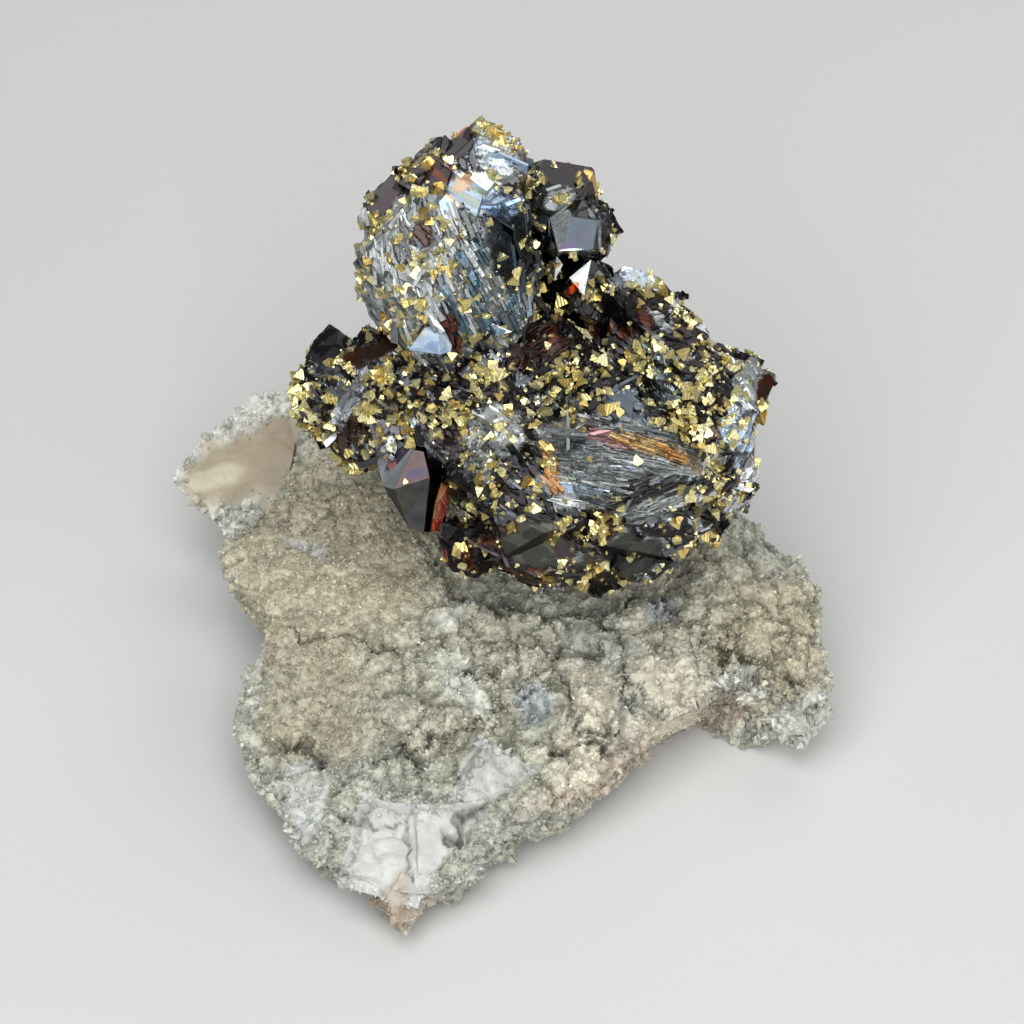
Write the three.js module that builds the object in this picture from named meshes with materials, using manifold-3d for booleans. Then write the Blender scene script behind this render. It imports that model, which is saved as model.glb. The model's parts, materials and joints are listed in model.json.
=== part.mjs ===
// A sphalerite specimen as it was collected: dark, submetallic crystals dusted with small brassy
// chalcopyrite crystals, grown on a plate of rock under a druzy quartz crust.
// Millimetres, +Z up. The origin is in the middle of the flat broken face that the plate rests on.
// +Y runs from the thin front lip of the plate to the thick back, where the crystals stand.
import * as THREE from "three";
import { ConvexGeometry } from "three/addons/geometries/ConvexGeometry.js";
import { MeshSurfaceSampler } from "three/addons/math/MeshSurfaceSampler.js";
import { mergeVertices } from "three/addons/utils/BufferGeometryUtils.js";
import Module from "manifold-3d";

const wasm = await Module();
wasm.setup();

// Driving dimensions.
const contactGap = 0.3; // the space kept where one crystal was cut to fit its neighbour
const plateFront = { y: -19.6, top: 3.2 }; // the front lip, and the height of the druse there
const plateBack = { y: 18, top: 9.4 }; // the back edge, and the height of the druse there
const lipThickness = 2.4; // how thick the plate is at its broken rim
const lipRound = 0.9; // how far the druse rolls down over the rim
const undercut = 0.05; // share of the plate's radius by which the broken rim slopes in below
const footShare = 0.78; // share of the plate's radius that lies flat on the table
const slabTop = 14; // over the highest point of the druse
const slabCells = 29; // how finely the druse is divided
const cellShift = 0.35; // how far its corners are moved off the even grid
const rimPoints = 84;
const rimStep = 0.35; // how rough the broken rim is
const finest = 0.02; // ledges lower than this are left out
const grainRadius = { least: 0.36, most: 0.8 }; // of the chalcopyrite crystals
const frontPitch = 46; // degrees that the front of the crystals leans back from the table
const frontOrigin = [0, 5.3, 14]; // a point low in the middle of the crystals
const sameFace = 0.9994; // corners whose faces lie within 2 degrees of each other share one face
const druseBlank = 50; // side of the square that the druse is cut out of
const aboveFoot = { side: 90, height: 60 }; // the space over the table

// A repeatable random number generator, from 0 to 1.
function seeded(seed) {
  let state = seed >>> 0;
  return () => {
    state = (state + 0x6d2b79f5) >>> 0;
    let t = Math.imul(state ^ (state >>> 15), 1 | state);
    t = (t + Math.imul(t ^ (t >>> 7), 61 | t)) ^ t;
    return ((t ^ (t >>> 14)) >>> 0) / 4294967296;
  };
}

// A closed three.js geometry as a manifold solid.
function toSolid(geometry) {
  const bare = new THREE.BufferGeometry();
  const flat = geometry.index ? geometry.toNonIndexed() : geometry;
  bare.setAttribute("position", flat.getAttribute("position"));
  const merged = mergeVertices(bare, 1e-4);
  return new wasm.Manifold(
    new wasm.Mesh({
      numProp: 3,
      vertProperties: merged.attributes.position.array,
      triVerts: new Uint32Array(merged.index.array),
    }),
  );
}

// A manifold solid as a three.js geometry.
function toGeometry(solid) {
  const { numVert, numProp, vertProperties, triVerts } = solid.getMesh();
  const points = new Float32Array(numVert * 3);
  for (let i = 0; i < numVert; i++) {
    points.set(vertProperties.subarray(i * numProp, i * numProp + 3), i * 3);
  }
  const indexed = new THREE.BufferGeometry();
  indexed.setAttribute("position", new THREE.BufferAttribute(points, 3));
  indexed.setIndex(new THREE.BufferAttribute(new Uint32Array(triVerts), 1));
  const faceted = indexed.toNonIndexed();
  faceted.computeVertexNormals();
  return faceted;
}

const tidy = (solid) => solid.simplify(finest);
const join = (solids) => wasm.Manifold.union(solids);
const largestBody = (solid) =>
  solid.decompose().reduce((best, body) => (body.volume() > best.volume() ? body : best));

// Face directions of the crystal forms that sphalerite and the carbonate blocks show.
const signs = [1, -1];
const cubeFaces = signs.flatMap((s) => [[s, 0, 0], [0, s, 0], [0, 0, s]]);
const tetraFaces = [[1, 1, 1], [1, -1, -1], [-1, 1, -1], [-1, -1, 1]];
const dodecaFaces = signs.flatMap((a) =>
  signs.flatMap((b) => [[a, b, 0], [a, 0, b], [0, a, b]]),
);

// How far each form's faces stand from the centre, as a share of the crystal's size.
const habits = {
  blocky: [[cubeFaces, 0.84], [tetraFaces, 0.98]],
  dodecahedral: [[dodecaFaces, 0.92]],
  rhomb: [[cubeFaces, 0.82]],
};

// The part of a crystal that can be aimed, and the direction across it that lies towards "up".
const leads = {
  cubeFace: [[1, 0, 0], [0, 0, 1]],
  dodecaFace: [[1, 1, 0], [0, 0, 1]],
};

function basisOf(first, second) {
  const z = new THREE.Vector3(...first).normalize();
  const x = new THREE.Vector3().crossVectors(new THREE.Vector3(...second), z).normalize();
  return new THREE.Matrix4().makeBasis(x, new THREE.Vector3().crossVectors(z, x), z);
}

// The flat-faced solid inside a set of planes, each a unit normal and a distance from the centre.
function polyhedron(planes, centre) {
  const corners = [];
  for (let i = 0; i < planes.length; i++) {
    for (let j = i + 1; j < planes.length; j++) {
      for (let k = j + 1; k < planes.length; k++) {
        const [a, b, c] = [planes[i], planes[j], planes[k]];
        const bc = new THREE.Vector3().crossVectors(b.normal, c.normal);
        const ca = new THREE.Vector3().crossVectors(c.normal, a.normal);
        const ab = new THREE.Vector3().crossVectors(a.normal, b.normal);
        const volume = a.normal.dot(bc);
        if (Math.abs(volume) < 1e-3) continue;
        const corner = bc.multiplyScalar(a.distance);
        corner.addScaledVector(ca, b.distance).addScaledVector(ab, c.distance).divideScalar(volume);
        if (planes.every((p) => p.normal.dot(corner) < p.distance + 1e-4)) {
          corners.push(corner.add(centre));
        }
      }
    }
  }
  return toSolid(new ConvexGeometry(corners));
}

// The planes of the flat faces that a set of corners spans.
function facesThrough(corners) {
  const hull = new ConvexGeometry(corners.map((p) => new THREE.Vector3(...p)));
  const [points, normals] = [hull.getAttribute("position"), hull.getAttribute("normal")];
  const planes = [];
  for (let i = 0; i < points.count; i += 3) {
    const normal = new THREE.Vector3().fromBufferAttribute(normals, i);
    if (planes.some((plane) => plane.normal.dot(normal) > sameFace)) continue;
    const corner = new THREE.Vector3().fromBufferAttribute(points, i);
    planes.push({ normal, distance: normal.dot(corner) });
  }
  return planes;
}

// The faces of one crystal about its centre. aim and up turn it, spread is its stretch along the
// axes, and seed shifts its faces a little, as no two crystals are alike. A crystal with a shape of
// its own is given by its corners instead.
function facesOf(spec) {
  if (spec.corners) return facesThrough(spec.corners);
  const { at, size, habit = "blocky", lead = "cubeFace", aim = [0, 0, 1], up = [0, 1, 0] } = spec;
  const { spread = [1, 1, 1], seed = 1 } = spec;
  const random = seeded(seed * 7919 + Math.round(at[0] * 31 + at[1] * 17 + at[2] * 13 + 5000));
  const turn = basisOf(aim, up).multiply(basisOf(...leads[lead]).transpose());
  return habits[habit].flatMap(([faces, share]) =>
    faces.map((face) => {
      const normal = new THREE.Vector3(...face).normalize().applyMatrix4(turn);
      normal.set(normal.x / spread[0], normal.y / spread[1], normal.z / spread[2]);
      const distance = (size * share * (0.9 + 0.2 * random())) / normal.length();
      return { normal: normal.normalize(), distance };
    }),
  );
}

// One crystal, with every face moved out by grow.
function crystal(spec, grow = 0) {
  const planes = facesOf(spec).map((p) => ({ normal: p.normal, distance: p.distance + grow }));
  return polyhedron(planes, new THREE.Vector3(...spec.at));
}

// A crystal and the smaller ones that grew on its faces in steps, all turned the same way.
function stepped(spec) {
  const { at, size, steps = 0, seed = 1 } = spec;
  if (!steps) return [spec];
  const random = seeded(seed * 104729 + Math.round(size * 100 + at[0] * 10));
  const planes = facesOf(spec);
  const family = [spec];
  for (let i = 0; i < steps; i++) {
    const { normal, distance } = planes[Math.floor(random() * planes.length)];
    const share = 0.34 + 0.26 * random();
    const rise = (0.04 + 0.09 * random()) * size;
    const across = new THREE.Vector3(random() - 0.5, random() - 0.5, random() - 0.5);
    across.cross(normal).normalize().multiplyScalar(size * (0.15 + 0.4 * random()));
    const centre = new THREE.Vector3(...at).add(across);
    centre.addScaledVector(normal, distance * (1 - share) + rise);
    family.push({ ...spec, at: centre.toArray(), size: size * share, seed: seed + i + 1 });
  }
  return family;
}

// The sphalerite crystals in the frame of their front: X to the right, Y up the leaning front and
// Z out of it. Each takes its place, size, the direction it faces and which way up it stands.
const blocky = (at, size, aim, up, steps = 0) => ({ at, size, aim, up, steps });
const dodeca = (at, size, aim, up, steps = 0, spread = [1, 1, 1]) => ({
  ...blocky(at, size, aim, up, steps),
  habit: "dodecahedral",
  lead: "dodecaFace",
  spread,
});
const inTower = (at, size, steps, spread) =>
  dodeca(at, size, [-0.25, 0.1, 0.96], [-0.1, 1, 0], steps, spread);
const withCorners = (corners) => ({ at: [0, 0, 0], corners });

// The red crystal hangs point down. Its first five corners bound the left face, and the next ones
// the front and the right side.
const rubyCorners = [
  [-10.13, 4.1, 2.82], [-8.6, 4.71, 3.78], [-7.52, 4.01, 4.8], [-8.8, 1.49, 4.6], [-9.5, 1.68, 4.02],
  [-7.82, -1.07, 3.42], [-6.88, -1.29, 3.18], [-6.49, 2.21, 4.52], [-6.88, 3.88, 4.74],
  [-5.58, -1.29, 1.75], [-5.19, 2.07, 3.02], [-5.3, 3.9, 3.2],
  [-9.9, 4.3, 0.8], [-9.2, 1.9, 0.6], [-7.7, -0.7, 0.8], [-5.8, -0.9, 0.2], [-5.3, 4, 0.6],
  [-8.4, 5, 0.8],
];
const pyramidCorners = [
  [-7.76, 10.33, 8.3], [-6.77, 11.75, 7.6], [-6.01, 11.95, 7.5], [-5.73, 10.03, 8.6],
  [-5.54, 11.75, 7.3], [-5.02, 10.63, 7.7], [-5.08, 10.25, 7.9],
  [-7.5, 10.5, 5], [-6.6, 11.6, 5], [-5.5, 11.6, 5], [-5.1, 10.4, 5], [-6, 10.2, 5],
];
// The first five corners of the summit bound the wide face at its front.
const summitCorners = [
  [3.35, 20.14, 4.31], [4.47, 18.79, 4.36], [4.16, 16.93, 4.61], [1.81, 16.8, 4.86], [2.8, 19.12, 4.49],
  [1.19, 17.86, 4], [1.19, 19.28, 3.38], [2.31, 19.83, 3.87], [0.82, 16.93, 3.6],
  [5.22, 19.64, 3.2], [5.3, 18.15, 3.2], [4.96, 16.6, 3.3], [2, 16, 1.6], [4.2, 16.1, 1.6],
  [0.9, 17, 0.6], [0.9, 19.4, 0.6], [3, 20.4, 0.6], [5.2, 19.6, 0.6], [5.3, 17, 0.6],
];
const rightBlade = [
  [2.52, 15.13, 4], [3.94, 16.31, 3.7], [4.47, 15.94, 3.75], [3.47, 13.99, 4.3],
  [2.7, 15.1, 2], [3.9, 16.1, 1.8], [4.3, 15.8, 1.8], [3.5, 14.3, 2],
];
const leftBlade = [
  [1.19, 15.81, 3.5], [1.69, 16.62, 3.35], [2.11, 15.99, 3.6], [1.56, 14.94, 3.85],
  [1.3, 15.8, 1.2], [1.7, 16.4, 1.2], [2, 15.9, 1.2], [1.6, 15.2, 1.2],
];

const frontCrystals = [
  dodeca([3.6, 2.6, -2.4], 6, [0, 0.1, 1], [0, 1, 0], 0, [1.25, 1.05, 1]),
  dodeca([6.2, 2.8, 3.6], 3.8, [0.1, 0.5, 0.85], [-0.9, 0.4, 0], 3, [1.5, 0.85, 0.8]),
  blocky([-2.6, 2.7, 3.8], 3, [-0.4, 0.5, 0.7], [0.5, 1, 0], 3),
  blocky([0, 0.2, 3.8], 3.2, [0.1, 0.3, 0.9], [-0.3, 1, 0], 2),
  dodeca([1, -1.8, 2.2], 3.2, [-0.1, -0.3, 0.9], [0.2, 1, 0], 1, [1.6, 0.85, 0.9]),
  dodeca([6.8, -0.8, 2.2], 3.2, [0.3, -0.3, 0.9], [-0.3, 1, 0], 2, [1.5, 0.8, 0.9]),
  blocky([-3.8, -2.2, 2], 1.8, [-0.5, -0.2, 0.8], [0.3, 1, 0], 1),
];
const middleCrystals = [
  blocky([2, 9, 2.8], 3.2, [-0.3, 0.5, 0.8], [0.6, 1, 0], 1),
  blocky([4.2, 7.2, 3.4], 2.7, [0.2, 0.4, 0.9], [0.2, 1, 0], 2),
  blocky([-1.8, 7.4, 3.6], 3.2, [0.1, 0.5, 0.9], [0.4, 1, 0], 2),
  blocky([-4.8, 7.8, 3.4], 2.9, [-0.2, 0.5, 0.8], [-0.3, 1, 0], 1),
  blocky([0.2, 5.6, 4], 2.5, [0.2, 0.6, 0.8], [0.1, 1, 0], 1),
  blocky([6.6, 5.8, 3], 2.3, [0.3, 0.6, 0.8], [-0.2, 1, 0], 1),
];
const leftLobeCrystals = [
  blocky([-11.9, 7.3, 1.2], 3.2, [-0.5, 0.4, 0.8], [0.3, 1, 0], 2),
  blocky([-9.5, 8.4, 2], 3, [-0.2, 0.6, 0.8], [0.4, 1, 0], 2),
  blocky([-12.5, 9.3, 0.4], 2, [-0.5, 0.6, 0.6], [0.6, 1, 0], 1),
  blocky([-10.8, 5.4, 0.8], 2.5, [-0.4, -0.1, 0.9], [-0.3, 1, 0], 1),
  blocky([-8.2, 5.7, 1.8], 3, [-0.1, 0.1, 1], [0.5, 1, 0], 2),
  blocky([-5.8, 5.2, 2.6], 2.8, [0.2, 0.3, 0.9], [0.2, 1, 0], 1),
];
const rightWingCrystals = [
  blocky([6.4, 13.2, 0.8], 2.5, [0.4, 0.5, 0.7], [-0.8, 1, 0]),
  blocky([8.2, 11, 0.8], 2.5, [0.4, 0.6, 0.7], [-0.7, 1, 0], 1),
  blocky([10.6, 8.7, 1], 2.6, [0.3, 0.7, 0.7], [-0.5, 1, 0], 2),
  dodeca([13.6, 7.9, 0.4], 2.2, [0.6, 0.2, 0.8], [-0.4, 1, 0], 1),
  blocky([11.4, 6, 1.6], 3, [0.3, 0.3, 0.9], [0.2, 1, 0], 1),
  blocky([11.9, 3, 0.8], 2.6, [0.5, -0.1, 0.9], [0.3, 1, 0], 2),
  blocky([10.4, 1, 0.6], 2.4, [0.4, -0.4, 0.8], [0.1, 1, 0], 1),
  blocky([9.2, 7.2, 2], 2.7, [0.1, 0.6, 0.8], [0.3, 1, 0]),
  blocky([7, 9.4, 0], 3.1, [0.2, 0.2, 0.9], [0.1, 1, 0]),
];
const backCrystals = [
  dodeca([-2.4, 12, -3.2], 5.4, [-0.1, 0.4, -0.9], [0.2, 1, 0], 1, [1.15, 1.15, 1]),
  blocky([4.4, 10.6, -3.4], 4.6, [0.3, 0.3, -0.9], [0.3, 1, 0], 1),
  blocky([-7, 6.4, -2.6], 4.2, [-0.6, 0.2, -0.7], [0.2, 1, 0], 1),
  blocky([1, 5, -6], 4.4, [0, 0.2, -0.9], [0.3, 1, 0], 1),
  blocky([-9.4, 6.6, -4.6], 3.4, [-0.8, 0.2, -0.4], [0.3, 1, 0]),
  dodeca([-8, 6.6, -8.6], 3.2, [-0.7, 0.1, -0.5], [0.3, 1, 0], 1),
  blocky([10.6, 4.4, -3.6], 3.4, [0.8, 0.1, -0.4], [0.2, 1, 0]),
  dodeca([8.6, 4.4, -7.4], 3.2, [0.7, 0.2, -0.6], [0.2, 1, 0], 1),
];

// The nodes of sphalerite. Where two meet, the one that comes first keeps its shape and the later
// one is cut to fit round it. Crystals that grew into one another are one solid.
const sphalerite = {
  ruby_crystal: {
    colour: "#3b3234",
    grains: 2,
    crystals: [withCorners(rubyCorners)],
  },
  pyramid_crystal: {
    colour: "#6f86a4",
    grains: 0,
    crystals: [withCorners(pyramidCorners)],
  },
  tower_crystal: {
    colour: "#56535c",
    grains: 16,
    crystals: [
      inTower([-5.4, 16.6, 4.4], 4.9, 8, [0.98, 1.22, 0.9]),
      inTower([-2.9, 21.4, 3.2], 3.1, 3, [1, 1.05, 1]),
      inTower([-8, 18.7, 3.6], 2.8, 2),
      inTower([-5.7, 21.1, 3.4], 2.7, 1),
      inTower([-1.9, 14.6, 3.8], 2.6, 2, [0.9, 1.6, 1]),
      inTower([-5.2, 12.3, 4.2], 2.8, 2, [1.2, 1, 1]),
      inTower([-8.8, 14.6, 3.8], 2, 1, [0.9, 1.4, 1]),
    ],
  },
  summit_crystal: {
    colour: "#474650",
    grains: 8,
    crystals: [
      withCorners(summitCorners),
      withCorners(rightBlade),
      withCorners(leftBlade),
      dodeca([1.6, 20.2, 1.4], 2.7, [0.2, 0.6, 0.8], [-0.4, 1, 0], 2),
      blocky([2.9, 18.6, 0.6], 2.3, [0.6, 0.4, 0.7], [-0.5, 1, 0], 1),
      blocky([3.4, 14.6, 1.2], 2.1, [0.5, -0.2, 0.8], [0.5, 1, 0], 2),
      dodeca([0.6, 17, 0], 2.9, [0.5, 0.1, 0.8], [0, 1, 0]),
    ],
  },
  intergrown_crystals: {
    colour: "#4c454b",
    grains: 40,
    crystals: [
      ...frontCrystals,
      ...middleCrystals,
      ...leftLobeCrystals,
      ...rightWingCrystals,
      ...backCrystals,
    ],
  },
};

// Smooth value noise between -1 and 1, with features about one unit across.
function noise(x, y, z = 0) {
  const hash = (i, j, k) => {
    const s = Math.sin(i * 127.1 + j * 311.7 + k * 74.7) * 43758.5453;
    return 2 * (s - Math.floor(s)) - 1;
  };
  const [i, j, k] = [Math.floor(x), Math.floor(y), Math.floor(z)];
  const ease = (t) => t * t * (3 - 2 * t);
  const [u, v, w] = [ease(x - i), ease(y - j), ease(z - k)];
  const mix = THREE.MathUtils.lerp;
  const edge = (b, c) => mix(hash(i, j + b, k + c), hash(i + 1, j + b, k + c), u);
  return mix(mix(edge(0, 0), edge(1, 0), v), mix(edge(0, 1), edge(1, 1), v), w);
}

// The plate's outline seen from above, clockwise from the back left corner.
const rim = [
  [-15.3, 18], [-9, 19.4], [-2, 19.8], [5, 18.2], [10.4, 14], [14.6, 10.6],
  [17.8, 7.8], [19.2, 4.4], [19.3, 1.2], [20, -2.6], [18.5, -3.8], [15.6, -1.6],
  [13.4, -0.8], [10.8, -3.2], [7.7, -6.1], [5.5, -8.6], [2.1, -11.7], [-2, -14.2],
  [-3.8, -16.4], [-6.2, -18.4], [-10.2, -17.6], [-14.2, -15.4], [-15.7, -12.2], [-18, -9],
  [-19.6, -5.6], [-19.2, -3], [-17.5, 0.4], [-17.9, 3.4], [-20.8, 6.3], [-20.6, 8.7],
  [-18.4, 11.4], [-16.4, 14.8],
];

// Lumps, pits and hollows of the druse: place, height and reach.
const lumps = [
  { at: [-14.6, -7], height: -1.5, reach: 1.8 },
  { at: [-10, -8.4], height: -1.4, reach: 1.2 },
  { at: [-7, -9], height: -1.6, reach: 1.3 },
  { at: [-4, -7.4], height: -1.5, reach: 1.2 },
  { at: [-1.6, -9.4], height: -1.5, reach: 1.1 },
  { at: [0.6, -3.4], height: -1.3, reach: 1.3 },
  { at: [3.6, -0.6], height: -1.4, reach: 1.3 },
  { at: [9, 1.6], height: -1.7, reach: 1.5 },
  { at: [12.6, 0.4], height: -1.6, reach: 1.4 },
  { at: [16.6, 0], height: -1.2, reach: 1.2 },
  { at: [-12, 2], height: 1, reach: 5 },
  { at: [-9, -4], height: 0.8, reach: 3.4 },
  { at: [-1, -1], height: 0.9, reach: 2 },
  { at: [6.4, 2.4], height: 1, reach: 2 },
  { at: [14.5, 5], height: 0.9, reach: 3 },
];

// White and buff carbonate blocks that stand in the druse.
const block = (at, size, aim, up, spread) => ({ habit: "rhomb", at, size, aim, up, spread });
const blocks = [
  block([-9, -13.8, 2.2], 3, [0.1, -0.5, 0.9], [0.2, 1, 0], [1.05, 1.35, 0.75]),
  block([-5.6, -13, 2.2], 2.9, [0.3, -0.5, 0.8], [-0.2, 1, 0], [1, 1.25, 0.75]),
  block([-14.6, -9.6, 2.8], 1.8, [-0.3, -0.4, 0.9], [-0.2, 1, 0], [0.9, 1.5, 0.8]),
  block([-2.6, -9, 3.2], 2.4, [0.2, -0.5, 0.8], [0.4, 1, 0], [1, 1.2, 0.8]),
  block([3.4, -4.6, 4.2], 2.1, [0.3, -0.6, 0.7], [0.2, 1, 0], [0.9, 1.2, 0.9]),
  block([7.6, -2.6, 4], 2.6, [-0.1, -0.5, 0.9], [-0.5, 1, 0], [1.2, 1, 0.9]),
  block([-5.4, -1.6, 6.2], 1.2, [0.2, -0.2, 1], [0.3, 1, 0], [1, 1, 1]),
  block([-8.4, -17.6, 1.6], 1.7, [0.3, -0.6, 0.8], [0.5, 1, 0], [0.8, 1.2, 0.8]),
  block([17.6, -2.6, 3], 1.8, [0.5, -0.3, 0.9], [0.6, 1, 0], [1, 1, 0.8]),
];

// The outline with the small steps of a broken edge, moved out by grow.
function brokenRim(grow) {
  const line = new THREE.CatmullRomCurve3(
    rim.map(([x, y]) => new THREE.Vector3(x, y, 0)).reverse(), true, "catmullrom", 0.5,
  );
  return Array.from({ length: rimPoints }, (_, i) => {
    const point = line.getPointAt(i / rimPoints);
    const along = line.getTangentAt(i / rimPoints);
    const step = grow + rimStep * noise(i * 0.7, 5);
    return new THREE.Vector2(point.x + along.y * step, point.y - along.x * step);
  });
}

// Height of the druse over a point of the plate.
function druseTop(x, y) {
  const back = THREE.MathUtils.clamp((y - plateFront.y) / (plateBack.y - plateFront.y), 0, 1.1);
  let z = THREE.MathUtils.lerp(plateFront.top, plateBack.top, back);
  for (const { at, height, reach } of lumps) {
    const far = Math.hypot(x - at[0], y - at[1]) / reach;
    z += height * Math.exp(-far * far);
  }
  return z + 0.5 * noise(x / 3.1 + 9, y / 3.1) + 0.35 * noise(x / 1.4, y / 1.4 + 4);
}

// A closed solid through rings of points, from the lowest ring up.
function loft(rings) {
  const count = rings[0].length;
  const points = rings.flat().flatMap((p) => p.toArray());
  const faces = [];
  for (let level = 0; level + 1 < rings.length; level++) {
    for (let i = 0; i < count; i++) {
      const [a, b] = [level * count + i, level * count + ((i + 1) % count)];
      faces.push(a, b, b + count, a, b + count, a + count);
    }
  }
  const flat = rings[0].map((p) => new THREE.Vector2(p.x, p.y));
  const top = count * (rings.length - 1);
  for (const [a, b, c] of THREE.ShapeUtils.triangulateShape(flat, [])) {
    faces.push(a, c, b, top + a, top + b, top + c);
  }
  const geometry = new THREE.BufferGeometry();
  geometry.setAttribute("position", new THREE.Float32BufferAttribute(points, 3));
  return toSolid(geometry.setIndex(faces));
}

// The rock plate: a slab whose top is the druse, inside a broken rim that slopes in below to the
// flat foot, with the carbonate blocks joined to it.
function plate(grow = 0) {
  const outline = brokenRim(grow);
  const ring = (share, height) =>
    outline.map((p) => new THREE.Vector3(p.x * share, p.y * share, height(p)));
  const lipUnder = (p) => Math.max(0.6, druseTop(p.x, p.y) - lipRound - lipThickness);
  const wall = loft([
    ring(footShare, () => 0),
    ring(1 - undercut, lipUnder),
    ring(1, (p) => lipUnder(p) + lipThickness),
    ring(1, () => slabTop),
  ]);

  const slab = new THREE.BoxGeometry(
    druseBlank, druseBlank, 2 * slabTop, slabCells, slabCells, 1,
  );
  const points = slab.getAttribute("position");
  for (let i = 0; i < points.count; i++) {
    if (points.getZ(i) < 0) continue;
    const [gridX, gridY] = [points.getX(i), points.getY(i)];
    const x = gridX + cellShift * noise(gridX * 3, gridY * 3, 2);
    const y = gridY + cellShift * noise(gridX * 3, gridY * 3, 7);
    const toRim = Math.min(...outline.map((p) => Math.hypot(p.x - x, p.y - y)));
    points.setXYZ(i, x, y, druseTop(x, y) - lipRound * Math.exp(-toRim / lipRound) + grow);
  }
  const { side, height } = aboveFoot;
  const aboveTable = toSolid(new THREE.BoxGeometry(side, side, height).translate(0, 0, height / 2));
  const standing = join(blocks.map((spec) => crystal(spec, grow))).intersect(aboveTable);
  return toSolid(slab).intersect(wall).add(standing);
}

// The bare pale carbonate ledge behind the druse, as the corners of its broken faces.
const ledgeCorners = [
  [-24.4, 16, 6.5], [-23.6, 17.1, 7.5], [-19.7, 20, 9], [-19, 21.1, 9.8],
  [-15.6, 21.6, 10], [-12, 20.6, 9.4],
  [-21.5, 14.5, 5], [-19.8, 12.4, 4], [-15, 13, 6],
  [-22.4, 16.6, 3.4], [-17, 21, 4], [-12.6, 20.2, 3], [-18.4, 13, 2.6],
];
const ledge = () => toSolid(new ConvexGeometry(ledgeCorners.map((p) => new THREE.Vector3(...p))));

// Places for small wedge-shaped chalcopyrite crystals, scattered over a group's faces.
function grainsOn(solid, count, seed) {
  const random = seeded(seed);
  const sampler = new MeshSurfaceSampler(new THREE.Mesh(toGeometry(solid)));
  sampler.setRandomGenerator(random).build();
  return Array.from({ length: count }, () => {
    const at = new THREE.Vector3();
    const out = new THREE.Vector3();
    sampler.sample(at, out);
    const radius = THREE.MathUtils.lerp(grainRadius.least, grainRadius.most, random() ** 2);
    const axis = new THREE.Vector3(random() - 0.5, random() - 0.5, random() - 0.5).normalize();
    const turn = new THREE.Quaternion().setFromAxisAngle(axis, random() * Math.PI);
    return { at: at.addScaledVector(out, radius * 0.2), radius, turn };
  });
}

// A chalcopyrite crystal is close to a tetrahedron, whose corners stand three times as far out as
// its faces.
function grain({ at, radius, turn }, grow = 0) {
  const shape = new THREE.TetrahedronGeometry(radius + 3 * grow);
  return toSolid(shape.applyQuaternion(turn).translate(at.x, at.y, at.z));
}

function mesh(name, solid, colour, roughness, metalness) {
  const material = new THREE.MeshStandardMaterial({ color: colour, roughness, metalness });
  const made = new THREE.Mesh(toGeometry(solid), material);
  made.name = name;
  return made;
}

const specimen = new THREE.Group();
specimen.add(mesh("druzy_plate", largestBody(plate()), "#a39c8a", 0.8, 0));
const spaceAboutPlate = plate(contactGap);
const bareLedge = largestBody(ledge().subtract(spaceAboutPlate));
specimen.add(mesh("carbonate_ledge", bareLedge, "#b9ab90", 0.6, 0));

const frontPose = new THREE.Matrix4()
  .makeRotationX(THREE.MathUtils.degToRad(frontPitch))
  .setPosition(...frontOrigin);
let taken = spaceAboutPlate;
Object.entries(sphalerite).forEach(([name, { crystals, grains, colour }], order) => {
  const family = crystals.flatMap(stepped);
  const placed = (grow) => join(family.map((c) => crystal(c, grow))).transform(frontPose.elements);
  const bare = largestBody(placed(0).subtract(taken));
  const dusting = grainsOn(bare, grains, 11 + order);
  const whole = join([bare, ...dusting.map((g) => grain(g))]).subtract(taken);
  specimen.add(mesh(name, tidy(largestBody(whole)), colour, 0.3, 0.6));
  taken = join([taken, placed(contactGap), ...dusting.map((g) => grain(g, contactGap))]);
});

export default specimen;
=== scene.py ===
import json
import math

import bmesh
import bpy
import numpy as np
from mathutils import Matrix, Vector, noise

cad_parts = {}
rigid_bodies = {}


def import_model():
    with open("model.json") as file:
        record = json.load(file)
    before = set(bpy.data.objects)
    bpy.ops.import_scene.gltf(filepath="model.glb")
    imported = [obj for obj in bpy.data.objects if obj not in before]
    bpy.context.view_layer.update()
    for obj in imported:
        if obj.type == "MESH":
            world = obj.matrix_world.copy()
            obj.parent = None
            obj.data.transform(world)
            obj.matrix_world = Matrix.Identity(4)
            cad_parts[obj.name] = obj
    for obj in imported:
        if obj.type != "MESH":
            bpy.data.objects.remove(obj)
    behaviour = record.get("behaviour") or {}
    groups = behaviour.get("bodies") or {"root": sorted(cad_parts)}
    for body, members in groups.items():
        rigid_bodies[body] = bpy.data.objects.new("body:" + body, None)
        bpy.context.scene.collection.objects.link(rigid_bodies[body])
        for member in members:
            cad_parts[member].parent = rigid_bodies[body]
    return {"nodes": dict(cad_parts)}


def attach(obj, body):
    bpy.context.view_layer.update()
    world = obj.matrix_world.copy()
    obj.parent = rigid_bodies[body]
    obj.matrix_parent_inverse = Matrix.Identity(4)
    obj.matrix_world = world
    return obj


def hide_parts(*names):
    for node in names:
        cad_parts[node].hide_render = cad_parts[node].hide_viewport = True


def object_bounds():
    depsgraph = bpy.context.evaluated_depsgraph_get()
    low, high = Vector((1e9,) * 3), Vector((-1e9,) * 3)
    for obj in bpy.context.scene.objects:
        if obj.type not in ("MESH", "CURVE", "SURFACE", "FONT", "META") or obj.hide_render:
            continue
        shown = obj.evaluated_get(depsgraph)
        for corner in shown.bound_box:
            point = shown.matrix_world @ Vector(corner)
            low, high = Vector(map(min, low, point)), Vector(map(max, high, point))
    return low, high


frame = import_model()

mm = 0.001
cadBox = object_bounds()
cadLow, cadHigh = np.array(cadBox[0]), np.array(cadBox[1])
scene = bpy.context.scene
print("frame loaded with", len(frame["nodes"]), "nodes")

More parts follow.
